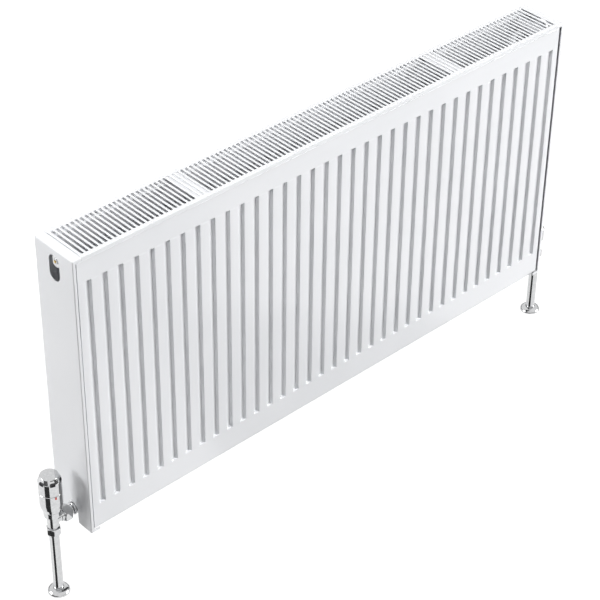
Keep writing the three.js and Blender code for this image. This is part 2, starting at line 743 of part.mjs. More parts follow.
// A lug is a hooked strip welded to a ridge of the rear panel. Its bridge is at the given height.
function lug(x, z) {
  const profile = outline([
    [lugFront, z - LUG_PLATE],
    [lugBack, z - LUG_PLATE],
    [lugBack, z - LUG_SHEET],
    [tongueFront, z - LUG_SHEET],
    [tongueFront, z - LUG_TONGUE],
    [tongueBack, z - LUG_TONGUE],
    [tongueBack, z],
    [lugFront, z],
  ]);
  return extrudedAlongX(profile, [x - LUG_WIDTH / 2, x + LUG_WIDTH / 2]);
}

// A saddle is a plastic block that straddles the bracket's web and takes a lug's tongue in a slot.
function saddle(x, z) {
  const top = z - LUG_SHEET - SEAT;
  const low = top - SADDLE_HEIGHT;
  const slotFloor = z - LUG_TONGUE - SEAT;
  const back = webFront + SADDLE_GRIP;
  const profile = outline([
    [saddleFront, low],
    [back, low],
    [back, top],
    [tongueBack + SEAT, top],
    [tongueBack + SEAT, slotFloor],
    [tongueFront - SEAT, slotFloor],
    [tongueFront - SEAT, top],
    [saddleFront, top],
  ]);
  const groove = BRACKET_SHEET / 2 + SEAT;
  return cut(
    extrudedAlongX(profile, [x - SADDLE_WIDTH / 2, x + SADDLE_WIDTH / 2]),
    box([x - groove, x + groove], [webFront - SEAT, back + PAST], [low - PAST, top + PAST]),
  );
}

function bracket(x, lowZ, highZ) {
  const bottom = lowZ - BRACKET_OVERHANG;
  const top = highZ + BRACKET_OVERHANG / 2;
  const half = BRACKET_WIDTH / 2;
  const plate = outline([
    [x - half, bottom],
    [x + half, bottom],
    [x + half, top],
    [x - half, top],
  ]);
  for (const z of [bottom + FIXING_INSET, top - FIXING_INSET]) {
    const hole = new THREE.Path();
    hole.absarc(x + FIXING_OFFSET, z, FIXING_RADIUS, 0, 2 * Math.PI, true);
    plate.holes.push(hole);
  }
  return join(
    extrudedAlongY(plate, [WALL_Y - BRACKET_SHEET, WALL_Y], HOLE_ROUND / 2),
    box(
      [x - BRACKET_SHEET / 2, x + BRACKET_SHEET / 2],
      [webFront, WALL_Y - BRACKET_SHEET / 2],
      [bottom, highZ],
    ),
  );
}

function wallFixings() {
  const levels = { upper: TOP_Z - LUG_INSET, lower: BOTTOM_Z + LUG_INSET };
  const pieces = [];
  for (const [name, side] of [["left", -1], ["right", 1]]) {
    const x = side * LUG_RIDGE * RECESS_PITCH;
    const body = bracket(x, levels.lower, levels.upper);
    pieces.push(named(`${name}_wall_bracket`, body, "zincPlate"));
    for (const [level, z] of Object.entries(levels)) {
      pieces.push(named(`${level}_${name}_lug`, lug(x, z), "whitePaint"));
      pieces.push(named(`${level}_${name}_saddle`, saddle(x, z), "greyPlastic"));
    }
  }
  return pieces;
}

// ---- valves ------------------------------------------------------------------------------------
// A valve's own frame has its origin where the vertical axis meets the tapping axis, with +X
// towards the radiator.

const teeFaceX = VALVE_OFFSET + TEE_FACE;

// The angled body: pipe socket below, branch to the radiator at the side, neck above.
function valveBody(neckRadius, topZ) {
  const trunk = turned([
    [0, BODY_BOTTOM],
    [BODY_THREAD, BODY_BOTTOM],
    [BODY_THREAD, BODY_THREAD_TOP],
    [BODY_RADIUS, BODY_THREAD_TOP + BODY_WALL],
    [BODY_RADIUS, BODY_SHOULDER],
    [neckRadius, BODY_SHOULDER + BODY_CHAMFER],
    [neckRadius, topZ],
    [0, topZ],
  ]);
  const branch = turnedAlongX([
    [0, 0],
    [BRANCH_BORE + BRANCH_WALL, 0],
    [BRANCH_BORE + BRANCH_WALL, BRANCH_THREAD_START - BODY_WALL],
    [BRANCH_THREAD, BRANCH_THREAD_START],
    [BRANCH_THREAD, BRANCH_END],
    [0, BRANCH_END],
  ]);
  const waterway = turned([
    [0, BODY_BOTTOM - PAST],
    [PIPE_CLEAR, BODY_BOTTOM - PAST],
    [PIPE_CLEAR, SOCKET_TOP],
    [SEAT_BORE, SOCKET_TOP],
    [SEAT_BORE, SEAT_LEVEL],
    [CHAMBER, SEAT_LEVEL],
    [CHAMBER, topZ + PAST],
    [0, topZ + PAST],
  ]);
  const outlet = turnedAlongX(rod(BRANCH_BORE, 0, BRANCH_END + PAST));
  return cut(join(trunk, branch), waterway, outlet);
}

// The tail screws into the radiator's tee and is drawn up to the branch by the union nut.
const tailFlangeStart = BRANCH_END + SEAT;
const tailFlangeEnd = tailFlangeStart + TAIL_FLANGE;
const tailRadius = BRANCH_BORE + TAIL_WALL;

function valveTail() {
  const collar = TEE_RADIUS - TAIL_COLLAR_MARGIN;
  const thread = THREAD_BORE - SEAT;
  const end = teeFaceX + THREAD_DEPTH - 2 * PAST;
  return turnedAlongX([
    [BRANCH_BORE, tailFlangeStart],
    [BRANCH_THREAD, tailFlangeStart],
    [BRANCH_THREAD, tailFlangeEnd],
    [tailRadius, tailFlangeEnd],
    [tailRadius, TAIL_COLLAR_START],
    [collar, TAIL_COLLAR_START + PAST],
    [collar, teeFaceX - SEAT],
    [thread, teeFaceX - SEAT],
    [thread, end],
    [BRANCH_BORE, end],
    [BRANCH_BORE, tailFlangeStart],
  ]);
}

function unionNut() {
  const threadRadius = BRANCH_THREAD + SEAT;
  const flats = 2 * (threadRadius + UNION_WALL);
  const blank = extrudedAlongZ(hexagon(flats), [UNION_START, UNION_END]);
  const thread = turned(rod(threadRadius, UNION_START - PAST, tailFlangeEnd + SEAT));
  const throat = turned(rod(tailRadius + SEAT, UNION_START, UNION_END + PAST));
  return cut(blank, thread, throat).rotateY(Math.PI / 2);
}

// The compression nut holds the olive on the pipe, and has a plain ring under its flats.
const oliveTop = BODY_BOTTOM - SEAT;
const oliveLow = oliveTop - OLIVE;

function compressionNut() {
  const threadRadius = BODY_THREAD + SEAT;
  const flats = threadRadius + NUT_WALL;
  const blank = extrudedAlongZ(hexagon(2 * flats), [NUT_BOTTOM, NUT_TOP]);
  const foot = turned(rod(flats - NUT_FOOT_STEP, NUT_FOOT, NUT_BOTTOM + PAST));
  const thread = turned(rod(threadRadius, oliveLow - SEAT, NUT_TOP + PAST));
  const throat = turned(rod(PIPE_CLEAR, NUT_FOOT - PAST, NUT_TOP));
  return cut(join(blank, foot), thread, throat);
}

const olive = () =>
  turned([
    [PIPE_CLEAR, oliveLow],
    [BODY_THREAD - OLIVE / 3, oliveLow],
    [BODY_THREAD, (oliveLow + oliveTop) / 2],
    [BODY_THREAD - OLIVE / 3, oliveTop],
    [PIPE_CLEAR, oliveTop],
    [PIPE_CLEAR, oliveLow],
  ]);

function valve(name, side, body, ...top) {
  const group = new THREE.Group();
  group.position.set(-side * (END_X + VALVE_OFFSET), MID_Y, LOW_TAPPING_Z);
  group.scale.x = side;
  group.add(
    named(`${name}_body`, body, "chrome"),
    named(`${name}_tail`, valveTail(), "chrome"),
    named(`${name}_union_nut`, unionNut(), "chrome"),
    named(`${name}_compression_nut`, compressionNut(), "chrome"),
    named(`${name}_olive`, olive(), "brass"),
    ...top,
  );
  return group;
}

// ---- thermostatic head -------------------------------------------------------------------------

const INSERT_TOP = HEAD_BOTTOM + 1;

// The insert guides the pin and closes the body's chamber.
const trvInsert = () =>
  turned([
    [PIN_RADIUS + SEAT, INSERT_LOW],
    [CHAMBER - SEAT, INSERT_LOW],
    [CHAMBER - SEAT, TRV_BODY_TOP + SEAT],
    [CHAMBER + INSERT_RIM, TRV_BODY_TOP + SEAT],
    [CHAMBER + INSERT_RIM, INSERT_TOP],
    [PIN_RADIUS + SEAT, INSERT_TOP],
    [PIN_RADIUS + SEAT, INSERT_LOW],
  ]);

// The pin carries the valve's disc at its foot and the spring's collar near its top.
function valvePin() {
  const discLow = SEAT_LEVEL + PIN_TRAVEL + SEAT;
  const discRadius = CHAMBER - DISC_MARGIN;
  const collarLow = SPRING_TOP + SEAT;
  const [collarStep, collarHeight] = PIN_COLLAR;
  return turned(
    [
      [0, discLow],
      [discRadius, discLow],
      [discRadius, discLow + DISC],
      [PIN_RADIUS, discLow + DISC],
      [PIN_RADIUS, collarLow],
      [PIN_RADIUS + collarStep, collarLow],
      [PIN_RADIUS + collarStep, collarLow + collarHeight],
      [PIN_RADIUS, collarLow + collarHeight],
      [PIN_RADIUS, CAPSULE_BOTTOM - SEAT],
      [0, CAPSULE_BOTTOM - SEAT],
    ],
    SMALL_ROUND,
  );
}

class Helix extends THREE.Curve {
  constructor(radius, turns, low, high) {
    super();
    Object.assign(this, { radius, turns, low, high });
  }
  getPoint(t, target = new THREE.Vector3()) {
    const angle = t * this.turns * 2 * Math.PI;
    const z = this.low + (this.high - this.low) * t;
    return target.set(this.radius * Math.cos(angle), this.radius * Math.sin(angle), z);
  }
}

function returnSpring() {
  const corner = (i) => (i * 2 * Math.PI) / 5;
  const section = outline(
    [0, 1, 2, 3, 4].map((i) => [
      SPRING_WIRE * Math.cos(corner(i)),
      SPRING_WIRE * Math.sin(corner(i)),
    ]),
  );
  const low = INSERT_TOP + SEAT + SPRING_WIRE;
  const high = SPRING_TOP - SPRING_WIRE;
  const extrudePath = new Helix(PIN_RADIUS + SPRING_GAP, SPRING_TURNS, low, high);
  return new THREE.ExtrudeGeometry(section, { extrudePath, steps: 10 * SPRING_TURNS });
}

// The ring that clamps the head to the body's neck.
function headRing() {
  const low = BODY_SHOULDER + BODY_CHAMFER + SEAT;
  const high = HEAD_BOTTOM - SEAT;
  const blank = turned(
    [
      [0, low],
      [RING_RADIUS - RING_EDGE, low],
      [RING_RADIUS, low + RING_EDGE],
      [RING_RADIUS, high - RING_EDGE],
      [RING_RADIUS - RING_EDGE / 2, high],
      [0, high],
    ],
    SMALL_ROUND,
  );
  return cut(blank, turned(rod(TRV_NECK + SEAT, low - PAST, high + PAST)));
}

// The fixed sleeve under the turning cap, open round the insert at its foot.
function headSleeve() {
  const footBore = CHAMBER + INSERT_RIM + SEAT;
  const top = HEAD_SPLIT - SEAT;
  return turned([
    [footBore, HEAD_BOTTOM],
    [HEAD_FOOT_RADIUS, HEAD_BOTTOM],
    [HEAD_RADIUS - HEAD_FOOT_STEP / 5, HEAD_BOTTOM + HEAD_FLARE / 2],
    [HEAD_RADIUS, HEAD_BOTTOM + HEAD_FLARE],
    [HEAD_RADIUS, top],
    [HEAD_BORE, top],
    [HEAD_BORE, HEAD_BOTTOM + HEAD_FLARE - HEAD_WALL],
    [HEAD_FOOT_RADIUS - HEAD_WALL, HEAD_BOTTOM + HEAD_WALL],
    [footBore, HEAD_BOTTOM + HEAD_WALL],
    [footBore, HEAD_BOTTOM],
  ]);
}

// The turning cap: a bevelled top with grip indents, a spigot in the sleeve and a guide tube
// round the sensor capsule.
function headCap() {
  const [topStep, sideStep] = HEAD_BEVEL;
  const ceiling = HEAD_TOP - HEAD_CROWN;
  const spigot = turnsIn(HEAD_BORE);
  const guideStart = HEAD_SPLIT + CAP_GUIDE_START;
  const shell = turned([
    [0, ceiling],
    [CAPSULE_GUIDE, ceiling],
    [CAPSULE_GUIDE, guideStart],
    [CAPSULE_GUIDE + CAP_SKIN, guideStart],
    [CAPSULE_GUIDE + CAP_SKIN, HEAD_TOP - sideStep],
    [spigot - CAP_SKIN, HEAD_TOP - sideStep],
    [spigot - CAP_SKIN, HEAD_SPLIT - CAP_SPIGOT],
    [spigot, HEAD_SPLIT - CAP_SPIGOT],
    [spigot, HEAD_SPLIT],
    [HEAD_RADIUS, HEAD_SPLIT],
    [HEAD_RADIUS, HEAD_TOP - sideStep],
    [HEAD_RADIUS - topStep, HEAD_TOP],
    [0, HEAD_TOP],
  ]);
  const indent = (i) =>
    box(
      [HEAD_RADIUS - INDENT_DEPTH, HEAD_RADIUS + PAST],
      [-INDENT_WIDTH / 2, INDENT_WIDTH / 2],
      [HEAD_TOP - INDENT_SPAN[1], HEAD_TOP - INDENT_SPAN[0]],
    ).rotateZ(radians(INDENT_PHASE + (i * 360) / INDENTS));
  return cut(shell, ...Array.from({ length: INDENTS }, (_, i) => indent(i)));
}

function sensorCapsule() {
  const [noseRadius, noseHeight] = CAPSULE_NOSE;
  return turned([
    [0, CAPSULE_BOTTOM],
    [noseRadius, CAPSULE_BOTTOM],
    [noseRadius, CAPSULE_BOTTOM + noseHeight],
    [CAPSULE_RADIUS, CAPSULE_BOTTOM + noseHeight + CAPSULE_FLARE],
    [CAPSULE_RADIUS, CAPSULE_TOP],
    [0, CAPSULE_TOP],
  ]);
}

// A small pointer on the sleeve, just under the split line.
const setMarker = () =>
  box(
    [HEAD_RADIUS + SEAT, HEAD_RADIUS + SEAT + MARKER_PROUD],
    [-MARKER_WIDTH / 2, MARKER_WIDTH / 2],
    [HEAD_SPLIT - MARKER_SPAN[1], HEAD_SPLIT - MARKER_SPAN[0]],
  ).rotateZ(radians(MARKER_ANGLE));

const thermostaticValve = () =>
  valve(
    "trv",
    1,
    valveBody(TRV_NECK, TRV_BODY_TOP),
    named("trv_insert", trvInsert(), "brass"),
    named("trv_pin", valvePin(), "steel"),
    named("trv_return_spring", returnSpring(), "steel"),
    named("trv_head_ring", headRing(), "chrome"),
    named("trv_head_sleeve", headSleeve(), "chrome"),
    named("trv_head_cap", headCap(), "chrome"),
    named("trv_sensor_capsule", sensorCapsule(), "brass"),
    named("trv_set_marker", setMarker(), "redPlastic"),
  );

// ---- lockshield valve --------------------------------------------------------------------------

// The spindle carries a plug over the seat, and a square for the key at its top.
function lockSpindle() {
  const plugRadius = SEAT_BORE + PLUG_LIP;
  const plugTop = SEAT_LEVEL + PLUG_HEIGHT;
  const gland = turnsIn(CHAMBER);
  const [neckRadius, neckHeight] = GLAND_NECK;
  const neckTop = LOCK_BODY_TOP + neckHeight;
  const stem = turned([
    [0, SEAT_LEVEL + SEAT],
    [plugRadius, SEAT_LEVEL + SEAT],
    [plugRadius, plugTop],
    [SPINDLE_RADIUS, plugTop + PLUG_LIP],
    [SPINDLE_RADIUS, GLAND_LOW],
    [gland, GLAND_LOW],
    [gland, LOCK_BODY_TOP],
    [neckRadius, LOCK_BODY_TOP + PLUG_LIP],
    [neckRadius, neckTop],
    [0, neckTop],
  ]);
  const flats = [-KEY_SQUARE / 2, KEY_SQUARE / 2];
  return join(stem, box(flats, flats, [neckTop - PAST, neckTop + KEY_LENGTH - PAST]));
}

// The pull-off cap that covers the spindle.
function lockCap() {
  const [topStep, sideStep] = CAP_BEVEL;
  const foot = BODY_SHOULDER + BODY_CHAMFER + SEAT;
  const ceiling = CAP_TOP - CAP_CROWN;
  return turned([
    [0, ceiling],
    [CAP_RADIUS - CAP_WALL, ceiling],
    [BODY_RADIUS + SEAT, LOCK_BODY_TOP],
    [BODY_RADIUS + SEAT, foot],
    [CAP_RADIUS, foot],
    [CAP_RADIUS, CAP_TOP - sideStep],
    [CAP_RADIUS - topStep, CAP_TOP],
    [0, CAP_TOP],
  ]);
}

const lockshieldValve = () =>
  valve(
    "lockshield",
    -1,
    valveBody(BODY_RADIUS, LOCK_BODY_TOP),
    named("lockshield_spindle", lockSpindle(), "brass"),
    named("lockshield_cap", lockCap(), "chrome"),
  );

// ---- pipes -------------------------------------------------------------------------------------

function pipeTail(name, side) {
  const bore = PIPE_RADIUS - PIPE_WALL;
  const collarBore = SLEEVE_RADIUS + SEAT;
  const group = new THREE.Group();
  group.position.set(side * (END_X + VALVE_OFFSET), MID_Y, 0);
  const collar = turned([
    [collarBore, 0],
    [COLLAR_RADIUS, 0],
    ...DOME.map(([inset, rise]) => [COLLAR_RADIUS - inset, COLLAR_HEIGHT * rise]),
    [collarBore + DOME_LIP, COLLAR_HEIGHT],
    [collarBore, COLLAR_HEIGHT],
    [collarBore, 0],
  ]);
  group.add(
    named(`${name}_pipe`, turned(ring(bore, PIPE_RADIUS, 0, PIPE_TOP_Z)), "copper"),
    named(
      `${name}_pipe_sleeve`,
      turned(ring(PIPE_CLEAR, SLEEVE_RADIUS, SEAT, SLEEVE_TOP_Z)),
      "chrome",
    ),
    named(`${name}_floor_collar`, collar, "chrome"),
  );
  return group;
}

// ---- the radiator ------------------------------------------------------------------------------

const radiator = new THREE.Group();
radiator.add(
  ...waterPanels(),
  ...convectors(),
  ...tees(),
  ...plugs(),
  ...covers(),
  ...wallFixings(),
  thermostaticValve(),
  lockshieldValve(),
  pipeTail("left", -1),
  pipeTail("right", 1),
);

export default radiator;
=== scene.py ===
"""A steel panel radiator with its valves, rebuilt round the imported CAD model.

Outlines and sizes below are in millimetres and become metres when a mesh is made. X runs along
the radiator, +Y is towards the wall and Z is up. Places come from the CAD nodes' boxes.
"""

import json
import math

import bmesh
import bpy
import numpy as np
from mathutils import Matrix, Vector


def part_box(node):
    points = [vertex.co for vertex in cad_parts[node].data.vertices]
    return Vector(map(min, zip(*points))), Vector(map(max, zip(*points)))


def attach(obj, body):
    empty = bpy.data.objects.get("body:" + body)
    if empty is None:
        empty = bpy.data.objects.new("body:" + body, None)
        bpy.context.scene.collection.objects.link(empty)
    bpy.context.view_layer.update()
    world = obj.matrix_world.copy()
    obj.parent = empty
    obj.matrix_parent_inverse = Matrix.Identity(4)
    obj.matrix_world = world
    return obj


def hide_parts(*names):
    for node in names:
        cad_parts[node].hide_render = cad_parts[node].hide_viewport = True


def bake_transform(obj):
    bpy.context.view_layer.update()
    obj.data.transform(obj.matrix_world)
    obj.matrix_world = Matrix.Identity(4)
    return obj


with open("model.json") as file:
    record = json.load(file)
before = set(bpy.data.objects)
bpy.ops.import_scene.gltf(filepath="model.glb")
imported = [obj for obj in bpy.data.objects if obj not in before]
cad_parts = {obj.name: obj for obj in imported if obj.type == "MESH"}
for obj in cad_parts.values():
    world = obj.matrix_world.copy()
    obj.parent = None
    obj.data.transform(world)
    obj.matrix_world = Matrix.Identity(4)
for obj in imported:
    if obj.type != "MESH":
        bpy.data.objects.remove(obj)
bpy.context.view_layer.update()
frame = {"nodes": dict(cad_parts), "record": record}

MM = 0.001
BODY_OF = {
    node: body
    for body, nodes in frame["record"]["behaviour"]["bodies"].items()
    for node in nodes
}
SLOT_OF = {part["node"]: part["material_slot"] for part in frame["record"]["subparts"]}


def box_mm(node):
    """Lowest and highest corner of a CAD node, in millimetres."""
    low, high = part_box(node)
    return low / MM, high / MM


# ---- materials ---------------------------------------------------------------------------------


class Shader:
    """A Principled material and the few nodes that each finish adds to it."""

    def __init__(self, name, **constants):
        self.material = bpy.data.materials.new(name)
        self.material.use_nodes = True
        self.tree = self.material.node_tree
        self.principled = self.tree.nodes["Principled BSDF"]
        for socket, value in constants.items():
            self.principled.inputs[socket.replace("_", " ")].default_value = value
        self.place = self.add("ShaderNodeTexCoord").outputs["Object"]

    def add(self, kind, **settings):
        node = self.tree.nodes.new(kind)
        for key, value in settings.items():
            setattr(node, key, value)
        return node

    def link(self, output, target):
        self.tree.links.new(output, target)

    def stretched(self, scale):
        mapping = self.add("ShaderNodeMapping")
        mapping.inputs["Scale"].default_value = scale
        self.link(self.place, mapping.inputs["Vector"])
        return mapping.outputs["Vector"]

    def noise(self, scale, detail=2.0, stretch=None):
        node = self.add("ShaderNodeTexNoise")
        node.inputs["Scale"].default_value = scale
        node.inputs["Detail"].default_value = detail
        self.link(self.stretched(stretch) if stretch else self.place, node.inputs["Vector"])
        return node.outputs["Fac"]

    def vary(self, factor, low, high, socket):
        """Drives a number socket between two values by a noise."""
        span = self.add("ShaderNodeMapRange")
        span.inputs["To Min"].default_value = low
        span.inputs["To Max"].default_value = high
        self.link(factor, span.inputs["Value"])
        self.link(span.outputs["Result"], self.principled.inputs[socket])

    def tint(self, factor, dark, light, start=0.35, end=0.65):
        """Drives the base colour between two colours by a noise."""
        ramp = self.add("ShaderNodeValToRGB")
        first, last = ramp.color_ramp.elements
        first.position, last.position = start, end
        first.color, last.color = (*dark, 1), (*light, 1)
        self.link(factor, ramp.inputs["Fac"])
        self.link(ramp.outputs["Color"], self.principled.inputs["Base Color"])

    def bump(self, height, strength, distance):
        node = self.add("ShaderNodeBump")
        node.inputs["Strength"].default_value = strength
        node.inputs["Distance"].default_value = distance
        self.link(height, node.inputs["Height"])
        self.link(node.outputs["Normal"], self.principled.inputs["Normal"])


def white_paint():
    """Powder coat: a faint orange-peel surface, a little uneven in gloss."""
    shader = Shader("white_powder_coat", Coat_Weight=0.35, Coat_Roughness=0.12)
    shader.tint(shader.noise(6), (0.77, 0.78, 0.8), (0.795, 0.803, 0.823))
    shader.vary(shader.noise(40), 0.3, 0.4, "Roughness")
    shader.bump(shader.noise(650), 0.06, 0.0004)
    return shader.material


def chrome():
    """Polished plate with faint polishing haze."""
    shader = Shader("polished_chrome", Metallic=1.0)
    shader.tint(shader.noise(200, 3), (0.55, 0.555, 0.565), (0.61, 0.615, 0.62))
    shader.vary(shader.noise(220, 4), 0.04, 0.1, "Roughness")
    shader.bump(shader.noise(300, 3), 0.02, 0.0002)
    return shader.material


def grip_painted_shade():
    """The satin floor of the head's grip indents, its colour painted near black as the shade and
    dark reflection in the recesses.
    """
    shader = Shader("grip_indent_painted_shade", Metallic=0.6)
    # painted shade: this near-black colour stands in for the shade and dark reflection inside the
    # indents
    shader.tint(shader.noise(400), (0.03, 0.03, 0.033), (0.07, 0.07, 0.075))
    shader.vary(shader.noise(500), 0.35, 0.5, "Roughness")
    return shader.material


def turned_metal(name, dark, light, roughness):
    """Machined metal with fine rings left by the tool."""
    shader = Shader(name, Metallic=1.0)
    shader.tint(shader.noise(60, 3), dark, light)
    rings = shader.noise(900, 2, stretch=(0.05, 0.05, 1))
    shader.vary(rings, roughness * 0.8, roughness * 1.3, "Roughness")
    shader.bump(rings, 0.1, 0.0002)
    return shader.material


def zinc_plate():
    """Zinc plating: small bright and dull spangles."""
    shader = Shader("zinc_plate", Metallic=1.0)
    cells = shader.add("ShaderNodeTexVoronoi")
    cells.inputs["Scale"].default_value = 160
    shader.link(shader.place, cells.inputs["Vector"])
    shader.tint(cells.outputs["Distance"], (0.56, 0.58, 0.6), (0.63, 0.65, 0.67), 0.1, 0.8)
    shader.vary(shader.noise(90, 3), 0.3, 0.5, "Roughness")
    shader.bump(shader.noise(500), 0.08, 0.0003)
    return shader.material


def moulded(name, dark, light, roughness):
    """Moulded plastic or rubber with a fine spark-eroded grain."""
    shader = Shader(name)
    shader.tint(shader.noise(25), dark, light)
    shader.vary(shader.noise(120), roughness * 0.9, roughness * 1.1, "Roughness")
    shader.bump(shader.noise(1500), 0.15, 0.0002)
    return shader.material


MATERIALS = {
    "white_paint": white_paint(),
    "chrome": chrome(),
    "brass": turned_metal("machined_brass", (0.68, 0.5, 0.22), (0.8, 0.62, 0.3), 0.28),
    "copper": turned_metal("drawn_copper", (0.6, 0.3, 0.18), (0.75, 0.42, 0.28), 0.3),
    "spring_steel": turned_metal("bright_steel", (0.5, 0.51, 0.52), (0.66, 0.67, 0.68), 0.25),
    "zinc_plate": zinc_plate(),
    "grey_plastic": moulded("grey_plastic", (0.6, 0.61, 0.62), (0.66, 0.67, 0.68), 0.5),
    "red_plastic": moulded("red_plastic", (0.62, 0.06, 0.04), (0.74, 0.1, 0.07), 0.35),
    "rubber": moulded("black_rubber", (0.02, 0.02, 0.02), (0.04, 0.04, 0.04), 0.7),
}
# painted shade and reflection for the floors of the grip indents
GRIP_PAINTED_SHADE = grip_painted_shade()


# ---- mesh helpers ------------------------------------------------------------------------------

CREASE = math.radians(35)  # edges sharper than this stay sharp in the shading


def mesh_of(name, vertices, faces):
    mesh = bpy.data.meshes.new(name)
    mesh.from_pydata([Vector(v) * MM for v in vertices], [], faces)
    mesh.update()
    return mesh


def object_of(mesh):
    made = bpy.data.objects.new(mesh.name, mesh)
    bpy.context.scene.collection.objects.link(made)
    return made


def shade(mesh, crease=CREASE):
    """Smooth shading that breaks at creases, with faces turned outwards."""
    work = bmesh.new()
    work.from_mesh(mesh)
    bmesh.ops.recalc_face_normals(work, faces=work.faces)
    for face in work.faces:
        face.smooth = True
    for edge in work.edges:
        edge.smooth = len(edge.link_faces) == 2 and edge.calc_face_angle() < crease
    work.to_mesh(mesh)
    work.free()


def applied(piece, *modifiers):
    """The piece with each (kind, settings) modifier applied in turn."""
    for kind, settings in modifiers:
        modifier = piece.modifiers.new(kind.lower(), kind)
        for key, value in settings.items():
            setattr(modifier, key, value)
    bpy.context.view_layer.update()
    evaluated = piece.evaluated_get(bpy.context.evaluated_depsgraph_get())
    mesh = bpy.data.meshes.new_from_object(evaluated)
    piece.modifiers.clear()
    old, piece.data = piece.data, mesh
    mesh.name = piece.name
    bpy.data.meshes.remove(old)
    return piece


def combined(piece, other, operation):
    """The exact union, difference or intersection of two pieces. The second one is used up."""
    settings = {
        "operation": operation,
        "solver": "EXACT",
        "object": other,
        "material_mode": "TRANSFER",
    }
    applied(piece, ("BOOLEAN", settings))
    bpy.data.objects.remove(other)
    return piece


def softened(width, segments=2, angle=40):
    """A bevel of every edge sharper than an angle."""
    return (
        "BEVEL",
        {
            "width": width * MM,
            "segments": segments,
            "limit_method": "ANGLE",
            "angle_limit": math.radians(angle),
            "harden_normals": False,
        },
    )


def sheet_metal(gauge):
    """Thickness given to an open skin, inwards from its outer face."""
    return ("SOLIDIFY", {"thickness": gauge * MM, "offset": -1, "use_even_offset": True})


def placed(piece, *nodes, replaces=True):
    """Shades a piece, and lets it ride, take its slot and stand for the nodes it is made from."""
    shade(piece.data)
    applied(piece, ("WEIGHTED_NORMAL", {"keep_sharp": True}))
    slot = SLOT_OF[nodes[0]]
    if not piece.data.materials:
        piece.data.materials.append(MATERIALS[slot])
    elif piece.data.materials[0] is None:
        piece.data.materials[0] = MATERIALS[slot]
    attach(piece, BODY_OF[nodes[0]])
    if replaces:
        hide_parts(*nodes)
    return piece


def rounded(profile, cutback, closed=False, steps=5):
    """An outline with each corner replaced by a curve that starts that far before it."""
    points = [Vector(p) for p in profile]
    count = len(points)
    result = []
    for i, corner in enumerate(points):
        if not closed and i in (0, count - 1):
            result.append(corner)
            continue
        back = points[i - 1] - corner
        ahead = points[(i + 1) % count] - corner
        reach = min(cutback, 0.48 * back.length, 0.48 * ahead.length)
        start = corner + back.normalized() * reach
        end = corner + ahead.normalized() * reach
        for k in range(steps + 1):
            t = k / steps
            result.append(start * (1 - t) ** 2 + corner * (2 * t * (1 - t)) + end * t**2)
    return result


def turned(name, profile, cutback=0.4, closed=False, sides=96):
    """A mesh turned about Z from (radius, height) pairs, with rounded corners."""
    outline = rounded(profile, cutback, closed)
    vertices = []
    rings = []
    for radius, height in outline:
        if radius < 1e-6:
            rings.append([len(vertices)] * sides)
            vertices.append((0, 0, height))
            continue
        rings.append(list(range(len(vertices), len(vertices) + sides)))
        for k in range(sides):
            angle = 2 * math.pi * k / sides
            vertices.append((radius * math.cos(angle), radius * math.sin(angle), height))
    faces = []
    count = len(rings)
    for i in range(count if closed else count - 1):
        low, high = rings[i], rings[(i + 1) % count]
        for k in range(sides):
            j = (k + 1) % sides
            face = list(dict.fromkeys((low[k], low[j], high[j], high[k])))
            faces.append(face)
    return object_of(mesh_of(name, vertices, faces))


def tube(inner, outer, low, high):
    """The closed outline of a ring."""
    return [(inner, low), (outer, low), (outer, high), (inner, high)]


def moved(piece, matrix):
    """Moves a piece's mesh, with distances in millimetres."""
    scaled = matrix.copy()
    scaled.translation = matrix.translation * MM
    piece.data.transform(scaled)
    if matrix.determinant() < 0:
        piece.data.flip_normals()
    return piece


ALONG_X = Matrix.Rotation(math.radians(90), 4, "Y")


def bar(name, radius, low, high, cutback=0.05):
    """A plain cylinder along Z."""
    return turned(name, [(0, low), (radius, low), (radius, high), (0, high)], cutback)


def block(name, xs, ys, zs, bevel, segments=2, material=None):
    """A box between pairs of X, Y and Z values, with bevelled edges."""
    vertices = [(x, y, z) for x in xs for y in ys for z in zs]
    faces = [(0, 1, 3, 2), (4, 6, 7, 5), (0, 4, 5, 1), (2, 3, 7, 6), (0, 2, 6, 4), (1, 5, 7, 3)]
    piece = object_of(mesh_of(name, vertices, faces))
    if material:
        piece.data.materials.append(material)
    return applied(piece, softened(bevel, segments))


def hexagon(name, flats, low, high, chamfer=1.6):
    """A hexagonal nut blank along Z, with its corners chamfered by a cone at both ends."""
    corner = flats / math.sqrt(3)
    angles = [i * math.pi / 3 for i in range(6)]
    ring = [(corner * math.cos(a), corner * math.sin(a)) for a in angles]
    vertices = [(x, y, z) for z in (low, high) for x, y in ring]
    faces = [tuple(range(5, -1, -1)), tuple(range(6, 12))]
    faces += [(i, (i + 1) % 6, (i + 1) % 6 + 6, i + 6) for i in range(6)]
    blank = object_of(mesh_of(name, vertices, faces))
    inner, outer = flats / 2 - 0.3, corner + 0.2
    outline = [(0, low), (inner, low), (outer, low + chamfer)]
    outline += [(outer, high - chamfer), (inner, high), (0, high)]
    return combined(blank, turned("chamfer", outline, 0.01), "INTERSECT")


# ---- water panels ------------------------------------------------------------------------------

PITCH = 33.5  # between waterways
RECESS_COUNT = 35
RIM_HALF = 7.0  # half the width of a recess at the face
FLOOR_HALF = 4.2  # half the width of its flat floor
WALL_CURVE = 1.15  # 1 is a straight wall; more leaves the floor gently and meets the face crisply
PRESS_DEPTH = 5.0
SHEET = 1.2
TOP_RUNOUT = 2.5  # length over which a recess ends at the top
BOTTOM_RUNOUT = 0.8
RECESS_TOP = 52.0  # top face down to the recesses
RECESS_BOTTOM = 57.0
CROWN = 0.35  # how far a ridge between two recesses stands proud at its middle
TOP_SHOULDER = 10.0  # top face down to the flat front
BOTTOM_RISE = 8.0
SHOULDER = 4.0  # width of the step round the flat front, above and below
END_SHOULDER = 1.6
FACE_END = 9.5  # radiator's end to the flat front

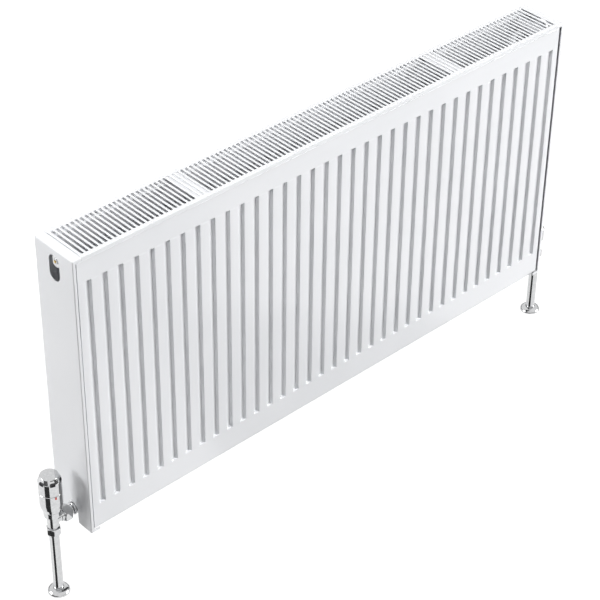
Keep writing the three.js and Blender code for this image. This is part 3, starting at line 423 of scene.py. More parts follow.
PANEL_LOW, PANEL_HIGH = box_mm("left_side_panel")
END_X = -PANEL_LOW.x
FRONT_Y, BACK_Y = PANEL_LOW.y, PANEL_HIGH.y
BOTTOM_Z, TOP_Z = PANEL_LOW.z, PANEL_HIGH.z
MID_Y = (FRONT_Y + BACK_Y) / 2


def ease(value, start, end):
    """0 before start, 1 after end, and a smooth rise between them."""
    t = np.clip((value - start) / (end - start), 0, 1)
    return t * t * (3 - 2 * t)


def recess_columns():
    """Sample places across one recess, closest together where its section bends."""
    half = [0, 1.4, 2.8, 3.8, 4.2, 4.6, 5.2, 5.9, 6.5, 6.8, 7.0, 7.2, 7.8, 9, 11, 13.5]
    return sorted({sign * value for value in half for sign in (-1, 1)})


def pressed_heights(x, z):
    """How far the pressed face stands out from the weld plane, for grids of X and Z."""
    offset = (x / PITCH - np.floor(x / PITCH + 0.5)) * PITCH
    inside = np.abs(x) < (RECESS_COUNT / 2) * PITCH
    wall = np.clip((np.abs(offset) - FLOOR_HALF) / (RIM_HALF - FLOOR_HALF), 0, 1)
    recess = np.where(inside, 1 - wall**WALL_CURVE, 0)
    low, high = BOTTOM_Z + RECESS_BOTTOM, TOP_Z - RECESS_TOP
    length = ease(z, low, low + BOTTOM_RUNOUT) * ease(-z, -high, -high + TOP_RUNOUT)
    face = END_X - FACE_END
    edge = ease(-np.abs(x), -face - END_SHOULDER, -face)
    edge = edge * ease(z, BOTTOM_Z + BOTTOM_RISE - SHOULDER, BOTTOM_Z + BOTTOM_RISE)
    edge = edge * ease(-z, -TOP_Z + TOP_SHOULDER - SHOULDER, -TOP_Z + TOP_SHOULDER)
    ridge = (1 - recess) * (np.cos(2 * np.pi * offset / PITCH + np.pi) + 1) / 2
    crown = CROWN * ridge * length * inside
    return edge * (PRESS_DEPTH - PRESS_DEPTH * recess * length) - edge * (CROWN - crown)


def spaced(start, end, count):
    return list(np.linspace(start, end, count))


def pressed_sheet(node):
    """The outer sheet of a water panel, pressed into ridges and upright recesses."""
    low, high = box_mm(node)
    outward = -1 if low.y < 0 else 1
    weld = high.y if outward < 0 else low.y
    reach = high.x
    face = END_X - FACE_END
    columns = [i * PITCH + c for i in range(-17, 18) for c in recess_columns()]
    sides = spaced(face - 1.5, face + END_SHOULDER + 0.5, 8) + [reach]
    xs = np.array(sorted(set(np.round(columns + sides + [-s for s in sides], 4))))
    foot, head = BOTTOM_Z + BOTTOM_RISE, TOP_Z - TOP_SHOULDER
    first, last = BOTTOM_Z + RECESS_BOTTOM, TOP_Z - RECESS_TOP
    zs = np.array(
        [low.z]
        + spaced(foot - SHOULDER - 1, foot + 1, 7)
        + [(foot + first) / 2]
        + spaced(first - 1, first + BOTTOM_RUNOUT + 1, 9)
        + spaced(first + 40, last - 40, 6)
        + spaced(last - TOP_RUNOUT - 1, last + 1, 9)
        + [(last + head) / 2]
        + spaced(head - 1, head + SHOULDER + 1, 7)
        + [high.z]
    )
    x, z = np.meshgrid(xs, zs)
    skin = weld + outward * (SHEET + pressed_heights(x, z))
    back = skin - outward * SHEET
    rows, cols = x.shape
    vertices = [
        point
        for y in (skin, back)
        for point in zip(x.ravel().tolist(), y.ravel().tolist(), z.ravel().tolist())
    ]
    layer = rows * cols
    faces = []
    for r in range(rows - 1):
        for c in range(cols - 1):
            i = r * cols + c
            faces.append((i, i + 1, i + cols + 1, i + cols))
            faces.append(tuple(layer + k for k in (i + cols, i + cols + 1, i + 1, i)))
    rim = (
        [c for c in range(cols)]
        + [r * cols + cols - 1 for r in range(1, rows)]
        + [(rows - 1) * cols + c for c in range(cols - 2, -1, -1)]
        + [r * cols for r in range(rows - 2, 0, -1)]
    )
    for i, a in enumerate(rim):
        b = rim[(i + 1) % len(rim)]
        faces.append((b, a, layer + a, layer + b))
    piece = object_of(mesh_of(f"{node}_pressed", vertices, faces))
    return placed(piece, node)


for node in ("front_panel_outer_sheet", "rear_panel_outer_sheet"):
    pressed_sheet(node)


# ---- covers ------------------------------------------------------------------------------------

COVER = 1.0
BEND = 1.8  # outer radius of a folded edge
LIP = 6.0
TOP_RETURN = 19.0
SKIRT = 6.5
TAB = 14.0
TAB_HEIGHT = 5.0
HOLE_RADIUS = 14.0
TAPPING = 27.0
SLOT_LIFT = 24.0
SLOT_PITCH = 9.9
SLOT_WIDTH = 5.8  # a little wider than in CAD, to look as dark as in the photograph
SLOT_END = 9.0
SLOT_CORNER = 1.6
SLOT_COUNT = 116
GRILLE_SEAMS = (1.5, 5.0)  # open line at the left and at the right
RIM_GAP = 0.4


def arc(centre, radius, start, end, steps=16):
    """Points on a circle, with angles in degrees."""
    angles = [math.radians(start + (end - start) * k / steps) for k in range(steps + 1)]
    return [(centre[0] + radius * math.cos(a), centre[1] + radius * math.sin(a)) for a in angles]


def filled(work, loops, place):
    """Fills the area between loops of (u, v) pairs, each put into space by a function."""
    edges = []
    for loop in loops:
        ring = [work.verts.new(Vector(place(u, v)) * MM) for u, v in loop]
        edges += [work.edges.new((ring[i - 1], ring[i])) for i in range(len(ring))]
    bmesh.ops.triangle_fill(work, edges=edges, use_beauty=True, use_dissolve=False)


def folded(name, work, corners, bend=BEND):
    """Rounds the folds of a skin, gives it its gauge and breaks its cut edges."""
    bmesh.ops.remove_doubles(work, verts=work.verts, dist=1e-6)
    bmesh.ops.recalc_face_normals(work, faces=work.faces)
    outwards = sum((f.normal.dot(f.calc_center_median() - corners) for f in work.faces))
    if outwards < 0:
        bmesh.ops.reverse_faces(work, faces=work.faces)
    folds = [e for e in work.edges if e.is_manifold and e.calc_face_angle() > 1]
    bmesh.ops.bevel(
        work,
        geom=folds,
        offset=bend * MM,
        offset_type="OFFSET",
        segments=4,
        profile=0.5,
        affect="EDGES",
        clamp_overlap=False,
    )
    mesh = bpy.data.meshes.new(name)
    work.to_mesh(mesh)
    work.free()
    return applied(object_of(mesh), sheet_metal(COVER), softened(0.2, 1, 60))


def side_panel(side):
    """A side panel: a plate folded back along its front, back and top edges."""
    node = f"{side}_side_panel"
    sign = 1 if side == "left" else -1
    work = bmesh.new()
    low_hole = BOTTOM_Z + TAPPING
    high_hole = TOP_Z - TAPPING
    plate = (
        [(FRONT_Y, BOTTOM_Z), (MID_Y - HOLE_RADIUS, BOTTOM_Z)]
        + arc((MID_Y, low_hole), HOLE_RADIUS, 180, 0, 24)
        + [(MID_Y + HOLE_RADIUS, BOTTOM_Z), (BACK_Y, BOTTOM_Z), (BACK_Y, TOP_Z - SKIRT)]
        + [(BACK_Y, TOP_Z), (FRONT_Y, TOP_Z), (FRONT_Y, TOP_Z - SKIRT)]
        + [(FRONT_Y, BOTTOM_Z + TAB_HEIGHT)]
    )
    vent = arc((MID_Y, high_hole), HOLE_RADIUS, 0, 180, 24)
    vent += arc((MID_Y, high_hole - SLOT_LIFT), HOLE_RADIUS, 180, 360, 24)
    filled(work, [plate, vent], lambda y, z: (-sign * END_X, y, z))

    def inwards(x):
        return -sign * (END_X - x)

    lip = [(0, BOTTOM_Z + TAB_HEIGHT), (LIP, BOTTOM_Z + TAB_HEIGHT)]
    lip += [(LIP, TOP_Z - SKIRT), (0, TOP_Z - SKIRT)]
    top_corner = [(0, TOP_Z - SKIRT), (LIP, TOP_Z - SKIRT), (TOP_RETURN, TOP_Z - SKIRT)]
    top_corner += [(TOP_RETURN, TOP_Z), (0, TOP_Z)]
    front_foot = [(0, BOTTOM_Z), (LIP + TAB, BOTTOM_Z), (LIP + TAB, BOTTOM_Z + TAB_HEIGHT)]
    front_foot += [(LIP, BOTTOM_Z + TAB_HEIGHT), (0, BOTTOM_Z + TAB_HEIGHT)]
    back_lip = [(0, BOTTOM_Z), (LIP, BOTTOM_Z), (LIP, TOP_Z - SKIRT), (0, TOP_Z - SKIRT)]
    outlines = [(FRONT_Y, lip), (FRONT_Y, top_corner), (FRONT_Y, front_foot)]
    outlines += [(BACK_Y, back_lip), (BACK_Y, top_corner)]
    for y, outline in outlines:
        work.faces.new([work.verts.new(Vector((inwards(x), y, z)) * MM) for x, z in outline])
    top = [(0, FRONT_Y), (TOP_RETURN, FRONT_Y), (TOP_RETURN, BACK_Y), (0, BACK_Y)]
    work.faces.new([work.verts.new(Vector((inwards(x), y, TOP_Z)) * MM) for x, y in top])
    inner = Vector((0, MID_Y, (BOTTOM_Z + TOP_Z) / 2)) * MM
    return placed(folded(f"{node}_folded", work, inner), node)


def slot_outline(x):
    """One slot of the grille, with rounded corners."""
    front, back = FRONT_Y + SLOT_END, BACK_Y - SLOT_END
    half = SLOT_WIDTH / 2
    corners = [(x - half, front), (x + half, front), (x + half, back), (x - half, back)]
    return [tuple(p) for p in rounded(corners, SLOT_CORNER, closed=True, steps=3)]


def grille():
    """The top grille: a slotted plate with its front and back edges turned down."""
    node = "top_grille"
    low, high = box_mm(node)
    left = low.x - RIM_GAP + GRILLE_SEAMS[0]
    right = high.x + RIM_GAP - GRILLE_SEAMS[1]
    front, back = FRONT_Y + SLOT_END, BACK_Y - SLOT_END
    plate = [(low.x, FRONT_Y), (high.x, FRONT_Y), (high.x, front), (right, front)]
    plate += [(right, back), (high.x, back), (high.x, BACK_Y), (low.x, BACK_Y)]
    plate += [(low.x, back), (left, back), (left, front), (low.x, front)]
    middle = (left + right) / 2
    slots = [
        slot_outline(middle + (i - (SLOT_COUNT - 1) / 2) * SLOT_PITCH) for i in range(SLOT_COUNT)
    ]
    work = bmesh.new()
    filled(work, [plate, *slots], lambda x, y: (x, y, TOP_Z))
    for y in (FRONT_Y, BACK_Y):
        ends = [(low.x, TOP_Z), (high.x, TOP_Z), (high.x, TOP_Z - SKIRT), (low.x, TOP_Z - SKIRT)]
        work.faces.new([work.verts.new(Vector((x, y, z)) * MM) for x, z in ends])
    inner = Vector((0, MID_Y, TOP_Z - SKIRT)) * MM
    return placed(folded(f"{node}_slotted", work, inner), node)


for side in ("left", "right"):
    side_panel(side)
grille()


# ---- valves ------------------------------------------------------------------------------------
# A valve's own frame has its origin where the vertical axis meets the tapping axis, with +X
# towards the radiator.

PIPE_LOW, PIPE_HIGH = box_mm("left_pipe")
VALVE_X = -(PIPE_LOW.x + PIPE_HIGH.x) / 2
VALVE_OFFSET = VALVE_X - END_X
PIPE_RADIUS = (PIPE_HIGH.x - PIPE_LOW.x) / 2
VALVE_Z = BOTTOM_Z + TAPPING
SEAT = 0.3  # clearance between two pieces
PAST = 2.0  # how far a cutter runs past what it cuts
TEE_FACE = 9.0  # tee's threaded face from the radiator's end
THREAD_RADIUS = 10.1  # tail or plug inside a tee
TAIL_THREAD = 12.0

TRUNK_RADIUS = 11.0
TRUNK_TOP = 10.0
NECK_START = 12.0
FOOT_RADIUS = 10.0
FOOT_LOW = -24.0
FOOT_HIGH = -14.0
SOCKET_TOP = -9.0  # end of the pipe's socket
VALVE_SEAT = -6.0
SEAT_BORE = 5.0
CHAMBER_RADIUS = 8.2
WATERWAY = 6.5  # radius
BRANCH_RADIUS = 9.5
BRANCH_THREAD = 14.0  # start of the branch's thread
BRANCH_END = 26.5

TAIL_RADIUS = 9.0
TAIL_FLANGE_END = 31.5
TAIL_COLLAR = (12.5, 40.0, 42.5)  # radius, start and full height
UNION_FLATS = 28.0
UNION_ENDS = (20.0, 35.0)
COMPRESSION_FLATS = 24.0
COMPRESSION_ENDS = (-31.0, -17.0)
COMPRESSION_FOOT = (11.0, -36.0)  # radius and lowest point
NUT_BEVEL = 0.35
NUT_ANGLE = 25
TRV_NECK, TRV_TOP = 13.0, 24.0
LOCK_NECK, LOCK_TOP = 11.0, 18.0


def valve_frame(side):
    """From a valve's own frame to the radiator's. The right valve is mirrored."""
    sign = 1 if side == "left" else -1
    return Matrix.Translation((-sign * VALVE_X, MID_Y, VALVE_Z)) @ Matrix.Diagonal((sign, 1, 1, 1))


def valve_body(name, side, node, neck, top):
    """The angled brass body: pipe socket below, branch at the side, neck above."""
    trunk = [(0, FOOT_LOW), (FOOT_RADIUS, FOOT_LOW), (FOOT_RADIUS, FOOT_HIGH)]
    trunk += [(TRUNK_RADIUS, FOOT_HIGH + 1), (TRUNK_RADIUS, TRUNK_TOP)]
    trunk += [(neck, NECK_START), (neck, top), (0, top)]
    branch = [(0, 0), (BRANCH_RADIUS, 0), (BRANCH_RADIUS, BRANCH_THREAD)]
    branch += [(TRUNK_RADIUS, BRANCH_THREAD + 1), (TRUNK_RADIUS, BRANCH_END), (0, BRANCH_END)]
    socket_radius = PIPE_RADIUS + SEAT
    socket = [(0, FOOT_LOW - PAST), (socket_radius, FOOT_LOW - PAST), (socket_radius, SOCKET_TOP)]
    socket += [(SEAT_BORE, SOCKET_TOP), (SEAT_BORE, VALVE_SEAT), (CHAMBER_RADIUS, VALVE_SEAT)]
    socket += [(CHAMBER_RADIUS, top + PAST), (0, top + PAST)]
    body = turned(name, trunk, 0.8)
    body = combined(body, moved(turned("branch", branch, 0.6), ALONG_X), "UNION")
    body = combined(body, turned("socket", socket, 0.05), "DIFFERENCE")
    outlet = moved(bar("outlet", WATERWAY, 0, BRANCH_END + PAST), ALONG_X)
    body = combined(body, outlet, "DIFFERENCE")
    return placed(moved(body, valve_frame(side)), node)


def valve_tail(name, side, node):
    """The tail that screws into the radiator, with a broad collar at the side panel."""
    start, face = BRANCH_END + SEAT, VALVE_OFFSET + TEE_FACE - SEAT
    collar, collar_start, collar_full = TAIL_COLLAR
    outline = [(WATERWAY, start), (TRUNK_RADIUS, start), (TRUNK_RADIUS, TAIL_FLANGE_END)]
    outline += [(TAIL_RADIUS, TAIL_FLANGE_END), (TAIL_RADIUS, collar_start), (collar, collar_full)]
    outline += [(collar, face), (THREAD_RADIUS, face), (THREAD_RADIUS, face + TAIL_THREAD)]
    outline += [(WATERWAY, face + TAIL_THREAD)]
    tail = moved(turned(name, outline, 0.7, closed=True), ALONG_X)
    return placed(moved(tail, valve_frame(side)), node)


def union_nut(name, side, node):
    """The nut that draws the tail's flange onto the body's branch."""
    low, high = UNION_ENDS
    nut = hexagon(name, UNION_FLATS, low, high)
    thread = bar("thread", TRUNK_RADIUS + SEAT, low - 1, TAIL_FLANGE_END + SEAT)
    nut = combined(nut, thread, "DIFFERENCE")
    nut = combined(nut, bar("throat", TAIL_RADIUS + SEAT, low + 1, high + 1), "DIFFERENCE")
    nut = applied(moved(nut, ALONG_X), softened(NUT_BEVEL, 2, NUT_ANGLE))
    return placed(moved(nut, valve_frame(side)), node)


def compression_nut(name, side, node):
    """The nut that grips the pipe under the body, with a round foot."""
    low, high = COMPRESSION_ENDS
    foot_radius, foot_low = COMPRESSION_FOOT
    nut = hexagon(name, COMPRESSION_FLATS, low, high)
    nut = combined(nut, bar("foot", foot_radius, foot_low, low + 1, 0.8), "UNION")
    nut = combined(nut, bar("thread", FOOT_RADIUS + SEAT, low + 3, high + 1), "DIFFERENCE")
    throat = bar("throat", PIPE_RADIUS + SEAT, foot_low - 1, high - 3)
    nut = applied(combined(nut, throat, "DIFFERENCE"), softened(NUT_BEVEL, 2, NUT_ANGLE))
    return placed(moved(nut, valve_frame(side)), node)


def valve(kind, side, neck, top):
    valve_body(f"{kind}_body_cast", side, f"{kind}_body", neck, top)
    valve_tail(f"{kind}_tail_turned", side, f"{kind}_tail")
    union_nut(f"{kind}_union_nut_chamfered", side, f"{kind}_union_nut")
    compression_nut(f"{kind}_compression_nut_chamfered", side, f"{kind}_compression_nut")


valve("trv", "left", TRV_NECK, TRV_TOP)
valve("lockshield", "right", LOCK_NECK, LOCK_TOP)


# ---- thermostatic head -------------------------------------------------------------------------

HEAD_RADIUS = 21.5
HEAD_WALL = 3.0
HEAD_FOOT = 27.0
HEAD_SPLIT = 71.0
HEAD_TOP = 108.0
HEAD_SHOULDER = 10.0
HEAD_TOP_RADIUS = 16.5
RING_RADIUS = 16.0
RING_BEVEL = 1.5
SLEEVE_BORE = 10.0
SLEEVE_FOOT = (17.5, 14.5)  # radius outside and inside
SLEEVE_WAIST = (20.7, 10.0)  # radius, and height over the foot
SLEEVE_FULL = (18.0, 15.0)  # height of the full radius over the foot, outside and inside
CAP_CROWN = 4.0  # thickness of the cap's top
CAP_POCKET = 13.6  # radius over the sensor capsule
CAP_MOUTH = 15.1
CAP_STEP = 4.0
SPIGOT_RADIUS = 17.8
SPIGOT_WALL = 1.5
SPIGOT_LENGTH = 5.0
INDENTS = 6
INDENT_PHASE = 10  # degrees from +X
INDENT_DEPTH = 2.4
INDENT_HALF = 5.0
INDENT_DROP = (13.0, 4.0)  # below the cap's top
MARKER_ANGLE = 260
MARKER_HALF = 1.6
MARKER_DROP = (6.0, 1.2)  # below the split
MARKER_REACH = (0.05, 0.9)  # out of the sleeve's face


def head_ring():
    bore, low, high = TRV_NECK + SEAT, NECK_START + SEAT, HEAD_FOOT - SEAT
    outline = [(bore, low), (RING_RADIUS - RING_BEVEL, low), (RING_RADIUS, low + RING_BEVEL)]
    outline += [(RING_RADIUS, high - RING_BEVEL), (RING_RADIUS - 0.8, high), (bore, high)]
    ring = turned("trv_head_ring_turned", outline, 0.6, closed=True)
    return placed(moved(ring, valve_frame("left")), "trv_head_ring")


def head_sleeve():
    """The head's fixed lower half, which widens from its foot."""
    bore, split = HEAD_RADIUS - HEAD_WALL, HEAD_SPLIT - SEAT
    foot_radius, inner_foot = SLEEVE_FOOT
    waist_radius, waist_rise = SLEEVE_WAIST
    full_rise, inner_rise = SLEEVE_FULL
    outline = [(SLEEVE_BORE, HEAD_FOOT), (foot_radius, HEAD_FOOT)]
    outline += [(waist_radius, HEAD_FOOT + waist_rise), (HEAD_RADIUS, HEAD_FOOT + full_rise)]
    outline += [(HEAD_RADIUS, split), (bore, split), (bore, HEAD_FOOT + inner_rise)]
    outline += [(inner_foot, HEAD_FOOT + HEAD_WALL), (SLEEVE_BORE, HEAD_FOOT + HEAD_WALL)]
    sleeve = turned("trv_head_sleeve_turned", outline, 1.2, closed=True)
    return placed(moved(sleeve, valve_frame("left")), "trv_head_sleeve")


def indent_cutter(i):
    """A block with rounded edges that cuts one grip indent across the cap's shoulder."""
    inner = HEAD_RADIUS - INDENT_DEPTH
    heights = [HEAD_TOP - drop for drop in INDENT_DROP]
    sides = (-INDENT_HALF, INDENT_HALF)
    # the faces this block cuts take its material, painted near black as shade
    cutter = block("indent", (inner, inner + 8), sides, heights, 0.8, material=GRIP_PAINTED_SHADE)
    turn = math.radians(INDENT_PHASE + i * 360 / INDENTS)
    return moved(cutter, Matrix.Rotation(turn, 4, "Z"))


def head_cap():
    """The head's turning upper half, hollow over the sensor capsule."""
    crown, shoulder = HEAD_TOP - CAP_CROWN, HEAD_TOP - HEAD_SHOULDER
    inner, spigot_low = SPIGOT_RADIUS - SPIGOT_WALL, HEAD_SPLIT - SPIGOT_LENGTH
    outline = [(0, crown), (CAP_POCKET, crown), (CAP_POCKET, HEAD_SPLIT + CAP_STEP)]
    outline += [(CAP_MOUTH, HEAD_SPLIT + CAP_STEP), (CAP_MOUTH, shoulder), (inner, shoulder)]
    outline += [(inner, spigot_low), (SPIGOT_RADIUS, spigot_low), (SPIGOT_RADIUS, HEAD_SPLIT)]
    outline += [(HEAD_RADIUS, HEAD_SPLIT), (HEAD_RADIUS, shoulder)]
    outline += [(HEAD_TOP_RADIUS, HEAD_TOP), (0, HEAD_TOP)]
    cap = turned("trv_head_cap_turned", outline, 1.2)
    cap.data.materials.append(MATERIALS["chrome"])
    for i in range(INDENTS):
        combined(cap, indent_cutter(i), "DIFFERENCE")
    return placed(moved(cap, valve_frame("left")), "trv_head_cap")


def set_marker():
    """The small pointer under the split line, with rounded edges."""
    reaches = [HEAD_RADIUS + reach for reach in MARKER_REACH]
    heights = [HEAD_SPLIT - drop for drop in MARKER_DROP]
    sides = (-MARKER_HALF, MARKER_HALF)
    marker = block("trv_set_marker_moulded", reaches, sides, heights, 0.3, 3)
    moved(marker, Matrix.Rotation(math.radians(MARKER_ANGLE), 4, "Z"))
    return placed(moved(marker, valve_frame("left")), "trv_set_marker")


head_ring()
head_sleeve()
head_cap()
set_marker()


# ---- return spring -----------------------------------------------------------------------------

SPRING_WIRE = 0.5  # radius
SPRING_TURNS = 4
SPRING_STEPS = 32  # per turn
SPRING_SIDES = 12


def return_spring():
    """The coil round the pin."""
    node = "trv_return_spring"
    low, high = box_mm(node)
    coil = (high.x - low.x) / 2 - SPRING_WIRE
    foot, rise = low.z + SPRING_WIRE, high.z - low.z - 2 * SPRING_WIRE
    last = SPRING_TURNS * SPRING_STEPS
    vertices = []
    for i in range(last + 1):
        turn = 2 * math.pi * i / SPRING_STEPS
        for k in range(SPRING_SIDES):
            angle = 2 * math.pi * k / SPRING_SIDES
            out = coil + SPRING_WIRE * math.cos(angle)
            z = foot + rise * i / last + SPRING_WIRE * math.sin(angle)
            vertices.append((out * math.cos(turn) - VALVE_X, out * math.sin(turn) + MID_Y, z))
    faces = [tuple(range(SPRING_SIDES)), tuple(range(last * SPRING_SIDES, len(vertices)))]
    for i in range(last):
        for k in range(SPRING_SIDES):
            near, far = i * SPRING_SIDES, (i + 1) * SPRING_SIDES
            j = (k + 1) % SPRING_SIDES
            faces.append((near + k, near + j, far + j, far + k))
    spring = object_of(mesh_of("trv_return_spring_wound", vertices, faces))
    shade(spring.data)
    spring.data.materials.append(MATERIALS[SLOT_OF[node]])
    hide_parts(node)
    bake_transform(spring)


return_spring()


# ---- lockshield cap ----------------------------------------------------------------------------

LOCK_CAP_RADIUS = 14.5
LOCK_CAP_TOP = 44.0
LOCK_CAP_BEVEL = (3.0, 4.0)  # across the top, down the side


def lock_cap():
    """The hollow cap pushed over the lockshield body's neck."""
    bore, foot = LOCK_NECK + SEAT, NECK_START + SEAT
    across, down = LOCK_CAP_BEVEL
    ceiling = LOCK_CAP_TOP - down
    outline = [(0, ceiling), (LOCK_CAP_RADIUS - across, ceiling), (bore, LOCK_TOP), (bore, foot)]
    outline += [(LOCK_CAP_RADIUS, foot), (LOCK_CAP_RADIUS, ceiling)]
    outline += [(LOCK_CAP_RADIUS - across, LOCK_CAP_TOP), (0, LOCK_CAP_TOP)]
    cap = turned("lockshield_cap_turned", outline, 1.0)
    return placed(moved(cap, valve_frame("right")), "lockshield_cap")


lock_cap()


# ---- pipes -------------------------------------------------------------------------------------

PIPE_WALL = 0.8
SLEEVE_RADIUS = 9.5
COLLAR_RADIUS = 21.0
COLLAR_HEIGHT = 9.0
COLLAR_RIM = 0.8  # height of its upright rim


def pipe_tail(side):
    """A copper pipe, the chrome sleeve over it and the domed collar on the floor."""
    sign = 1 if side == "left" else -1
    foot = Matrix.Translation((-sign * VALVE_X, MID_Y, 0))
    bore = SLEEVE_RADIUS + SEAT
    wall = tube(PIPE_RADIUS - PIPE_WALL, PIPE_RADIUS, 0, PIPE_HIGH.z)
    pipe = turned(f"{side}_pipe_drawn", wall, 0.2, True)
    placed(moved(pipe, foot), f"{side}_pipe")
    low, high = box_mm(f"{side}_pipe_sleeve")
    wall = tube(PIPE_RADIUS + SEAT, SLEEVE_RADIUS, low.z, high.z)
    sleeve = turned(f"{side}_pipe_sleeve_plated", wall, 0.4, True)
    placed(moved(sleeve, foot), f"{side}_pipe_sleeve")
    angles = [math.radians(k * 10) for k in range(9)]
    width, rise = COLLAR_RADIUS - bore, COLLAR_HEIGHT - COLLAR_RIM
    dome = [(bore + width * math.cos(a), COLLAR_RIM + rise * math.sin(a)) for a in angles]
    outline = [(bore, 0), (COLLAR_RADIUS, 0), *dome, (bore, COLLAR_HEIGHT)]
    collar = turned(f"{side}_floor_collar_domed", outline, 0.5, True)
    placed(moved(collar, foot), f"{side}_floor_collar")


for side in ("left", "right"):
    pipe_tail(side)


# ---- plugs -------------------------------------------------------------------------------------

PLUG_THREAD = 13.7  # length
FLANGE_RADIUS = 13.0
FLANGE_FOOT = 2.1  # flange's back from the tee's face, over the washer
FLANGE = 3.0
FLANGE_CHAMFER = (1.5, 1.0)  # across the face, along the rim
VENT_BOSS = (5.5, 1.5)  # radius and height
VENT_BORE = 3.3
BORE_FLOOR = -6.7
SCREW_PROUD = 0.5  # bleed screw's shoulder past the flange
SCREW_HALF = 1.9  # half the width of its square
SCREW_TOP = 7.9
DRIVE_FLATS = 10.0
DRIVE_DEPTH = 2.0
FLANGE_FACE = FLANGE_FOOT + FLANGE


def plug_frame(side):
    """From a plug's own frame, which has +Z out of the tee, to the radiator's."""
    sign = -1 if side == "left" else 1
    at = Matrix.Translation((sign * (END_X - TEE_FACE), MID_Y, TOP_Z - TAPPING))
    return at @ Matrix.Rotation(math.radians(90 * sign), 4, "Y")


def plug(name, front):
    """A threaded plug with a chamfered flange and the given outline in front of it."""
    across, along = FLANGE_CHAMFER
    stem = [(0, -PLUG_THREAD), (THREAD_RADIUS, -PLUG_THREAD), (THREAD_RADIUS, FLANGE_FOOT)]
    stem += [(FLANGE_RADIUS, FLANGE_FOOT), (FLANGE_RADIUS, FLANGE_FACE - along)]
    stem += [(FLANGE_RADIUS - across, FLANGE_FACE)]
    return turned(name, stem + front, 0.4)


def vent_plug():
    """The air vent's plug and the bleed screw in it."""
    boss, rise = VENT_BOSS
    front = [(boss, FLANGE_FACE), (boss, FLANGE_FACE + rise), (0, FLANGE_FACE + rise)]
    body = plug("air_vent_plug_turned", front)
    combined(body, bar("bore", VENT_BORE, BORE_FLOOR, SCREW_TOP + PAST), "DIFFERENCE")
    placed(moved(body, plug_frame("left")), "air_vent_plug")
    shoulder = FLANGE_FACE + SCREW_PROUD
    screw = bar("bleed_screw_turned", VENT_BORE - SEAT, BORE_FLOOR + SEAT, shoulder, 0.3)
    sides = (-SCREW_HALF, SCREW_HALF)
    square = block("square", sides, sides, (shoulder - 0.6, SCREW_TOP), 0.3)
    combined(screw, square, "UNION")
    placed(moved(screw, plug_frame("left")), "bleed_screw")


def blanking_plug():
    body = plug("blanking_plug_turned", [(0, FLANGE_FACE)])
    drive = hexagon("drive", DRIVE_FLATS, FLANGE_FACE - DRIVE_DEPTH, FLANGE_FACE + PAST)
    combined(body, drive, "DIFFERENCE")
    placed(moved(body, plug_frame("right")), "blanking_plug")


vent_plug()
blanking_plug()


# ---- nodes that keep their CAD shape -----------------------------------------------------------

for node, kept in frame["nodes"].items():
    kept.data.materials.clear()
    kept.data.materials.append(MATERIALS[SLOT_OF[node]])


# ---- studio ------------------------------------------------------------------------------------


FLOOR_REACH = 30000  # middle to edge
BACKDROP_RADIUS = 28000
BACKDROP_HEIGHT = 30000
BACKDROP_SIDES = 64
CARD_REACH = 16000
CARD_HEIGHT = 4000
FLAG_SECTOR = (42, 88)  # degrees from -Y towards -X
FLAG_REACH = (25, 900)  # from the pipe's middle


def glowing(name, strength, dark, light, scale, **constants):
    """A plain shader that gives off white light of its own."""
    white = {"Emission_Color": (1, 1, 1, 1), "Emission_Strength": strength}
    shader = Shader(name, **white, **constants)
    shader.tint(shader.noise(scale), (dark,) * 3, (light,) * 3)
    return shader


def level(reach, height):
    """The corners of a square that lies level."""
    signs = [(-1, -1), (1, -1), (1, 1), (-1, 1)]
    return [(reach * x, reach * y, height) for x, y in signs]


def floor():
    """A large plain pale floor."""
    piece = object_of(mesh_of("floor", level(FLOOR_REACH, 0), [(0, 1, 2, 3)]))
    shader = glowing("pale_floor", 0.8, 0.24, 0.26, 1.5, Specular_IOR_Level=0.2)
    shader.vary(shader.noise(3), 0.75, 0.85, "Roughness")
    piece.data.materials.append(shader.material)
    piece.visible_diffuse = False  # its glow would fill the recesses with light


def aimed(name, kind, at, target, **settings):
    """A light at one place that points at another."""
    data = bpy.data.lights.new(name, kind)
    for key, value in settings.items():
        setattr(data, key, value)
    lamp = bpy.data.objects.new(name, data)
    bpy.context.scene.collection.objects.link(lamp)
    lamp.location = at
    lamp.rotation_mode = "QUATERNION"
    lamp.rotation_quaternion = (Vector(target) - Vector(at)).to_track_quat("-Z", "Y")


def studio_light():
    """A wide overhead light, a key from the right and a fill from the left and behind."""
    aimed("overhead", "SUN", (0, 0, 4), (0, 0.05, 0), energy=2.25, angle=math.radians(75))
    aimed("key", "AREA", (7.5, -6.6, 3.3), (0, 0, 0.45), energy=1400, size=4.6)
    aimed("fill", "AREA", (-3.0, 1.6, 1.4), (-0.6, 0, 0.45), energy=72, size=1.4)


def surroundings():
    world = bpy.data.worlds.new("studio")
    world.use_nodes = True
    background = world.node_tree.nodes["Background"]
    background.inputs["Color"].default_value = (1, 1, 1, 1)
    background.inputs["Strength"].default_value = 0.13
    bpy.context.scene.world = world


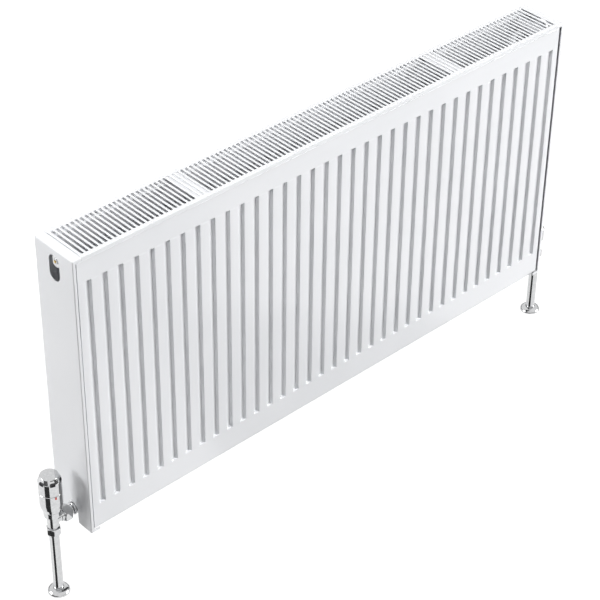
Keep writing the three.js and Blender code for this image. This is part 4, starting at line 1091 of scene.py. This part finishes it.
def backdrop():
    """A pale round wall, far off, which only the camera sees."""
    sides = BACKDROP_SIDES
    angles = [2 * math.pi * k / sides for k in range(sides)]
    ring = [(BACKDROP_RADIUS * math.cos(a), BACKDROP_RADIUS * math.sin(a)) for a in angles]
    vertices = [(x, y, z) for z in (0, BACKDROP_HEIGHT) for x, y in ring]
    faces = [(k, (k + 1) % sides, (k + 1) % sides + sides, k + sides) for k in range(sides)]
    wall = object_of(mesh_of("backdrop", vertices, faces))
    wall.data.materials.append(glowing("backdrop_grey", 0.6, 0.0, 0.01, 0.1).material)
    wall.visible_diffuse = wall.visible_glossy = wall.visible_shadow = False


def overhead_card():
    """A white card above the radiator, which only shows in what the chrome mirrors."""
    card = object_of(mesh_of("overhead_card", level(CARD_REACH, CARD_HEIGHT), [(3, 2, 1, 0)]))
    card.data.materials.append(glowing("card_white", 1.0, 0.0, 0.01, 2).material)
    card.visible_camera = card.visible_diffuse = card.visible_shadow = False


def flag(side):
    """A dark card on the floor beside a pipe, which only shows as the band that chrome mirrors."""
    sign = 1 if side == "left" else -1
    start, end = (math.radians(a) for a in FLAG_SECTOR)
    near, far = FLAG_REACH
    corners = [
        (-sign * VALVE_X - reach * math.sin(a), MID_Y - reach * math.cos(a), 1)
        for reach, a in ((near, start), (far, start), (far, end), (near, end))
    ]
    card = object_of(mesh_of(f"{side}_flag", corners, [(0, 1, 2, 3)]))
    shader = Shader("flag_black", Roughness=1.0)
    shader.tint(shader.noise(5), (0.004, 0.004, 0.004), (0.006, 0.006, 0.006))
    card.data.materials.append(shader.material)
    card.visible_camera = card.visible_diffuse = card.visible_shadow = False


def camera():
    """The viewpoint: from the front, above and to the left."""
    azimuth, elevation, roll = (math.radians(a) for a in (43.05, 36.82, 0.73))
    data = bpy.data.cameras.new("camera")
    data.lens = 118.6
    data.sensor_width = 36
    data.clip_end = 100
    view = bpy.data.objects.new("camera", data)
    bpy.context.scene.collection.objects.link(view)
    ahead = Vector(
        (
            math.sin(azimuth) * math.cos(elevation),
            math.cos(azimuth) * math.cos(elevation),
            -math.sin(elevation),
        )
    )
    view.location = (-2.099, -2.215, 2.62)
    view.rotation_mode = "QUATERNION"
    turn = Matrix.Rotation(-roll, 3, ahead)
    view.rotation_quaternion = (turn @ ahead.to_track_quat("-Z", "Y").to_matrix()).to_quaternion()
    bpy.context.scene.camera = view


floor()
surroundings()
studio_light()
backdrop()
overhead_card()
flag("left")
flag("right")
bpy.context.scene.view_settings.view_transform = "Standard"
camera()
